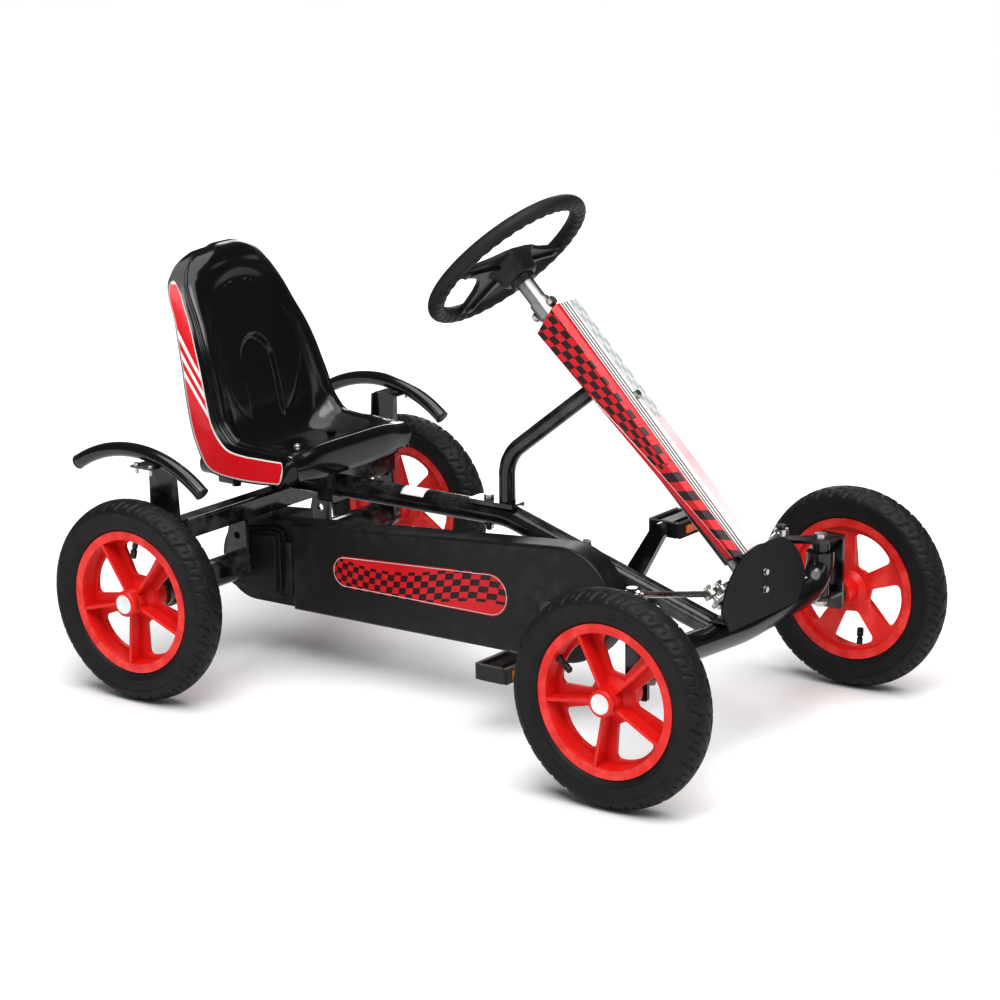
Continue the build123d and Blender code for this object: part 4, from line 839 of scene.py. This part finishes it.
def make_cover():
    """Folded sheet over the steering column: two sides, two bevels and the striped top."""
    lower, upper = (-.450, .291), (-.131, .620)
    low_edge, up_edge = (-.428, .283), (-.101, .574)
    half, bevel, sheet = 0.0331, 0.008, 0.0021
    rows = 60
    verts, faces, kinds = [], [], []
    top_dir = Vector((0, upper[0] - lower[0], upper[1] - lower[1])).normalized()
    out = Vector((0, -top_dir.z, top_dir.y))
    for i in range(rows + 1):
        t = i / rows
        top = Vector((0, lower[0] + (upper[0] - lower[0]) * t, lower[1] + (upper[1] - lower[1]) * t))
        low = Vector((0, low_edge[0] + (up_edge[0] - low_edge[0]) * t,
                      low_edge[1] + (up_edge[1] - low_edge[1]) * t))
        down = (low - top).normalized()
        for h, b, s in ((half, bevel, 0.0), (half - sheet, bevel - 0.0009, sheet)):
            peak = top - out * s
            ring = [(-h, low), (-h, peak + down * b), (-h + b, peak),
                    (h - b, peak), (h, peak + down * b), (h, low)]
            verts += [Vector((x, p.y, p.z)) for x, p in ring]
    cols = 12
    loop = [0, 1, 2, 3, 4, 5, 11, 10, 9, 8, 7, 6]
    kind_of = [0, 0, 1, 0, 0, 2, 2, 2, 2, 2, 2, 2]
    for i in range(rows):
        for j in range(cols):
            a, b = loop[j], loop[(j + 1) % cols]
            faces.append((i * cols + a, i * cols + b, (i + 1) * cols + b, (i + 1) * cols + a))
            kinds.append(kind_of[j])
    for i in (0, rows):
        for j in range(5):
            a, b = loop[j], loop[j + 1]
            faces.append((i * cols + a, i * cols + b, i * cols + b + 6, i * cols + a + 6))
            kinds.append(2)
    return verts, faces, kinds


verts, faces, kinds = make_cover()
cover = piece("column_cover_film", verts, faces, ["cover_side", "cover_top", "red_film"], "frame",
              "red_decal", ["column_cover"], kinds, flat=True)
smooth_edges(cover, 0.0006, 2, 20)

# ---------------------------------------------------------------- chain case details


def hull_ring(circles, inset, x, steps=72):
    """Outline round a group of circles (y, z, radius), drawn in by inset, in the plane at x."""
    points = []
    for n in range(steps):
        a = 2 * math.pi * n / steps
        turn = np.array([math.cos(a), math.sin(a)])
        y, z, radius = max(circles, key=lambda c: c[0] * turn[0] + c[1] * turn[1] + c[2])
        points.append(Vector((x, y + turn[0] * (radius - inset), z + turn[1] * (radius - inset))))
    return points


BOSS = ((.371, .203, .018), (.450, .186, .024), (.450, .140, .030), (.374, .126, .021))
BOSS_STEPS = ((-.0705, 0), (-.0770, 0), (-.0782, .0012), (-.0784, .0050), (-.0836, .0052), (-.0848, .0064),
              (-.0850, .0102), (-.0898, .0104), (-.0912, .0118))
boss_rings = [hull_ring(BOSS, inset, x) for x, inset in BOSS_STEPS]
boss = piece("case_rear_boss", *loft(boss_rings), ["case"], "frame", "dark_plastic")
boss.data.shade_flat()
smooth_edges(boss, 0.0007, 2, 30)

BADGE = ((.227, .172, .025), (-.048, .181, .033))
rings = [hull_ring(BADGE, inset, x, 120) for x, inset in ((-.0857, .0016), (-.0862, .0016), (-.0862, .0029),
                                                          (-.0857, .0029))]
verts = [p for ring in rings for p in ring]
piece("badge_border", verts, grid_faces(4, 120, True, True), ["trim"], "frame", "white_plastic")

seams = []
for start, end in ((-.238, -.086), (.257, .331)):
    outline = [(start, -.0007), (end, -.0007), (end, .0007), (start, .0007)]
    seams.append(prism(outline, (-.0864, 0, .1862), (0, 1, 0), (0, 0, 1), -0.0010))
piece("case_seam_beads", *joined(seams), ["case"], "frame", "dark_plastic", flat=True)

# ---------------------------------------------------------------- pedals

LEAN_CRANK = math.radians(31)


def make_pedal_teeth(side):
    """Serrated strips round both treads of a pedal."""
    a = LEAN_CRANK if side > 0 else LEAN_CRANK + math.pi
    cy, cz = -0.176 - 0.095 * math.sin(a), 0.182 + 0.095 * math.cos(a)
    cx = side * 0.155
    parts = []
    for face in (1, -1):
        z0 = cz + face * 0.0108
        for edge in (-1, 1):
            for n in range(17):
                x = cx - 0.036 + 0.0045 * n
                y = cy + edge * 0.0258
                parts.append(tooth(x, y, z0, 0.0036, 0.0052, face))
        for edge in (-1, 1):
            for n in range(9):
                x = cx + edge * 0.0375
                y = cy - 0.0185 + 0.0046 * n
                parts.append(tooth(x, y, z0, 0.0048, 0.0034, face))
    return joined(parts)


def tooth(x, y, z, width, depth, face):
    w, d, h = width / 2, depth / 2, 0.0019 * face
    base = [(x - w, y - d, z), (x + w, y - d, z), (x + w, y + d, z), (x - w, y + d, z)]
    tip = [(x - w * .45, y - d * .7, z + h), (x + w * .45, y - d * .7, z + h),
           (x + w * .45, y + d * .7, z + h), (x - w * .45, y + d * .7, z + h)]
    faces = [(0, 1, 2, 3), (4, 5, 6, 7)] + [(i, (i + 1) % 4, (i + 1) % 4 + 4, i + 4) for i in range(4)]
    return [Vector(p) for p in base + tip], faces


for place, side in SIDES.items():
    verts, faces = make_pedal_teeth(side)
    piece(f"pedal_teeth_{place}", verts, faces, ["serration"], f"pedal_{place}", "black_plastic", flat=True)

# ---------------------------------------------------------------- small details


def make_sticker():
    """Blank pale label wrapped over the main tube in front of the seat."""
    rows, cols = 10, 14
    verts = []
    for i in range(rows + 1):
        y = 0.128 + 0.044 * i / rows
        for j in range(cols + 1):
            a = math.radians(-62 + 74 * j / cols)
            verts.append(Vector((math.sin(a) * 0.01822, y, 0.281 + math.cos(a) * 0.01822)))
    return verts, grid_faces(rows + 1, cols + 1, False, False)


verts, faces = make_sticker()
label = piece("tube_label", verts, faces, ["sticker"], "frame", "white_plastic")
label_sheet = label.modifiers.new("sheet", "SOLIDIFY")
label_sheet.thickness = 0.0003

screw = [(0.0, 0.0021), (0.0026, 0.0021), (0.0030, 0.0030), (0.0052, 0.0027), (0.0062, 0.0015),
         (0.0064, -0.001)]
verts, faces = lathe(screw, (0, 0.388, 0.3325), Vector((0, 0, 1)), 28)
piece("seat_pan_screw", verts, faces, ["zinc"], "seat", "zinc_steel")

for end in ((0.327, 0.328), (0.576, 0.3435)):
    for place, side in SIDES.items():
        inward = 1 if end[0] < 0.4 else -1
        axis = Vector((0, inward * 0.78, inward * 0.62)) if inward > 0 else Vector((0, -0.86, 0.50))
        profile = [(0.0, -0.0022), (0.0098, -0.0022), (0.0112, -0.0014), (0.0114, 0.0), (0.0114, 0.001),
                   (0.0105, 0.0012)]
        verts, faces = lathe(profile, (side * 0.297, *end), axis, 32)
        which = "front" if inward > 0 else "rear"
        piece(f"fender_plug_{which}_{place}", verts, faces, ["black"], "frame", "black_plastic")

# ---------------------------------------------------------------- floor

floor_mesh = bpy.data.meshes.new("floor")
FLOOR_HALF = 14
corners = [(x * FLOOR_HALF, y * FLOOR_HALF, 0) for x, y in ((-1, -1), (1, -1), (1, 1), (-1, 1))]
floor_mesh.from_pydata(corners, [], [(0, 1, 2, 3)])
floor = bpy.data.objects.new("floor", floor_mesh)
bpy.context.scene.collection.objects.link(floor)
ground = Shader("pale_floor", 0.6, specular=0.2)
mottle = ground.span(ground.noise(2.0, 3), 0.3, 0.7)
ground.colour(ground.mix(mottle, (0.86, 0.86, 0.86), (0.84, 0.84, 0.845)))
floor_mesh.materials.append(ground.mat)
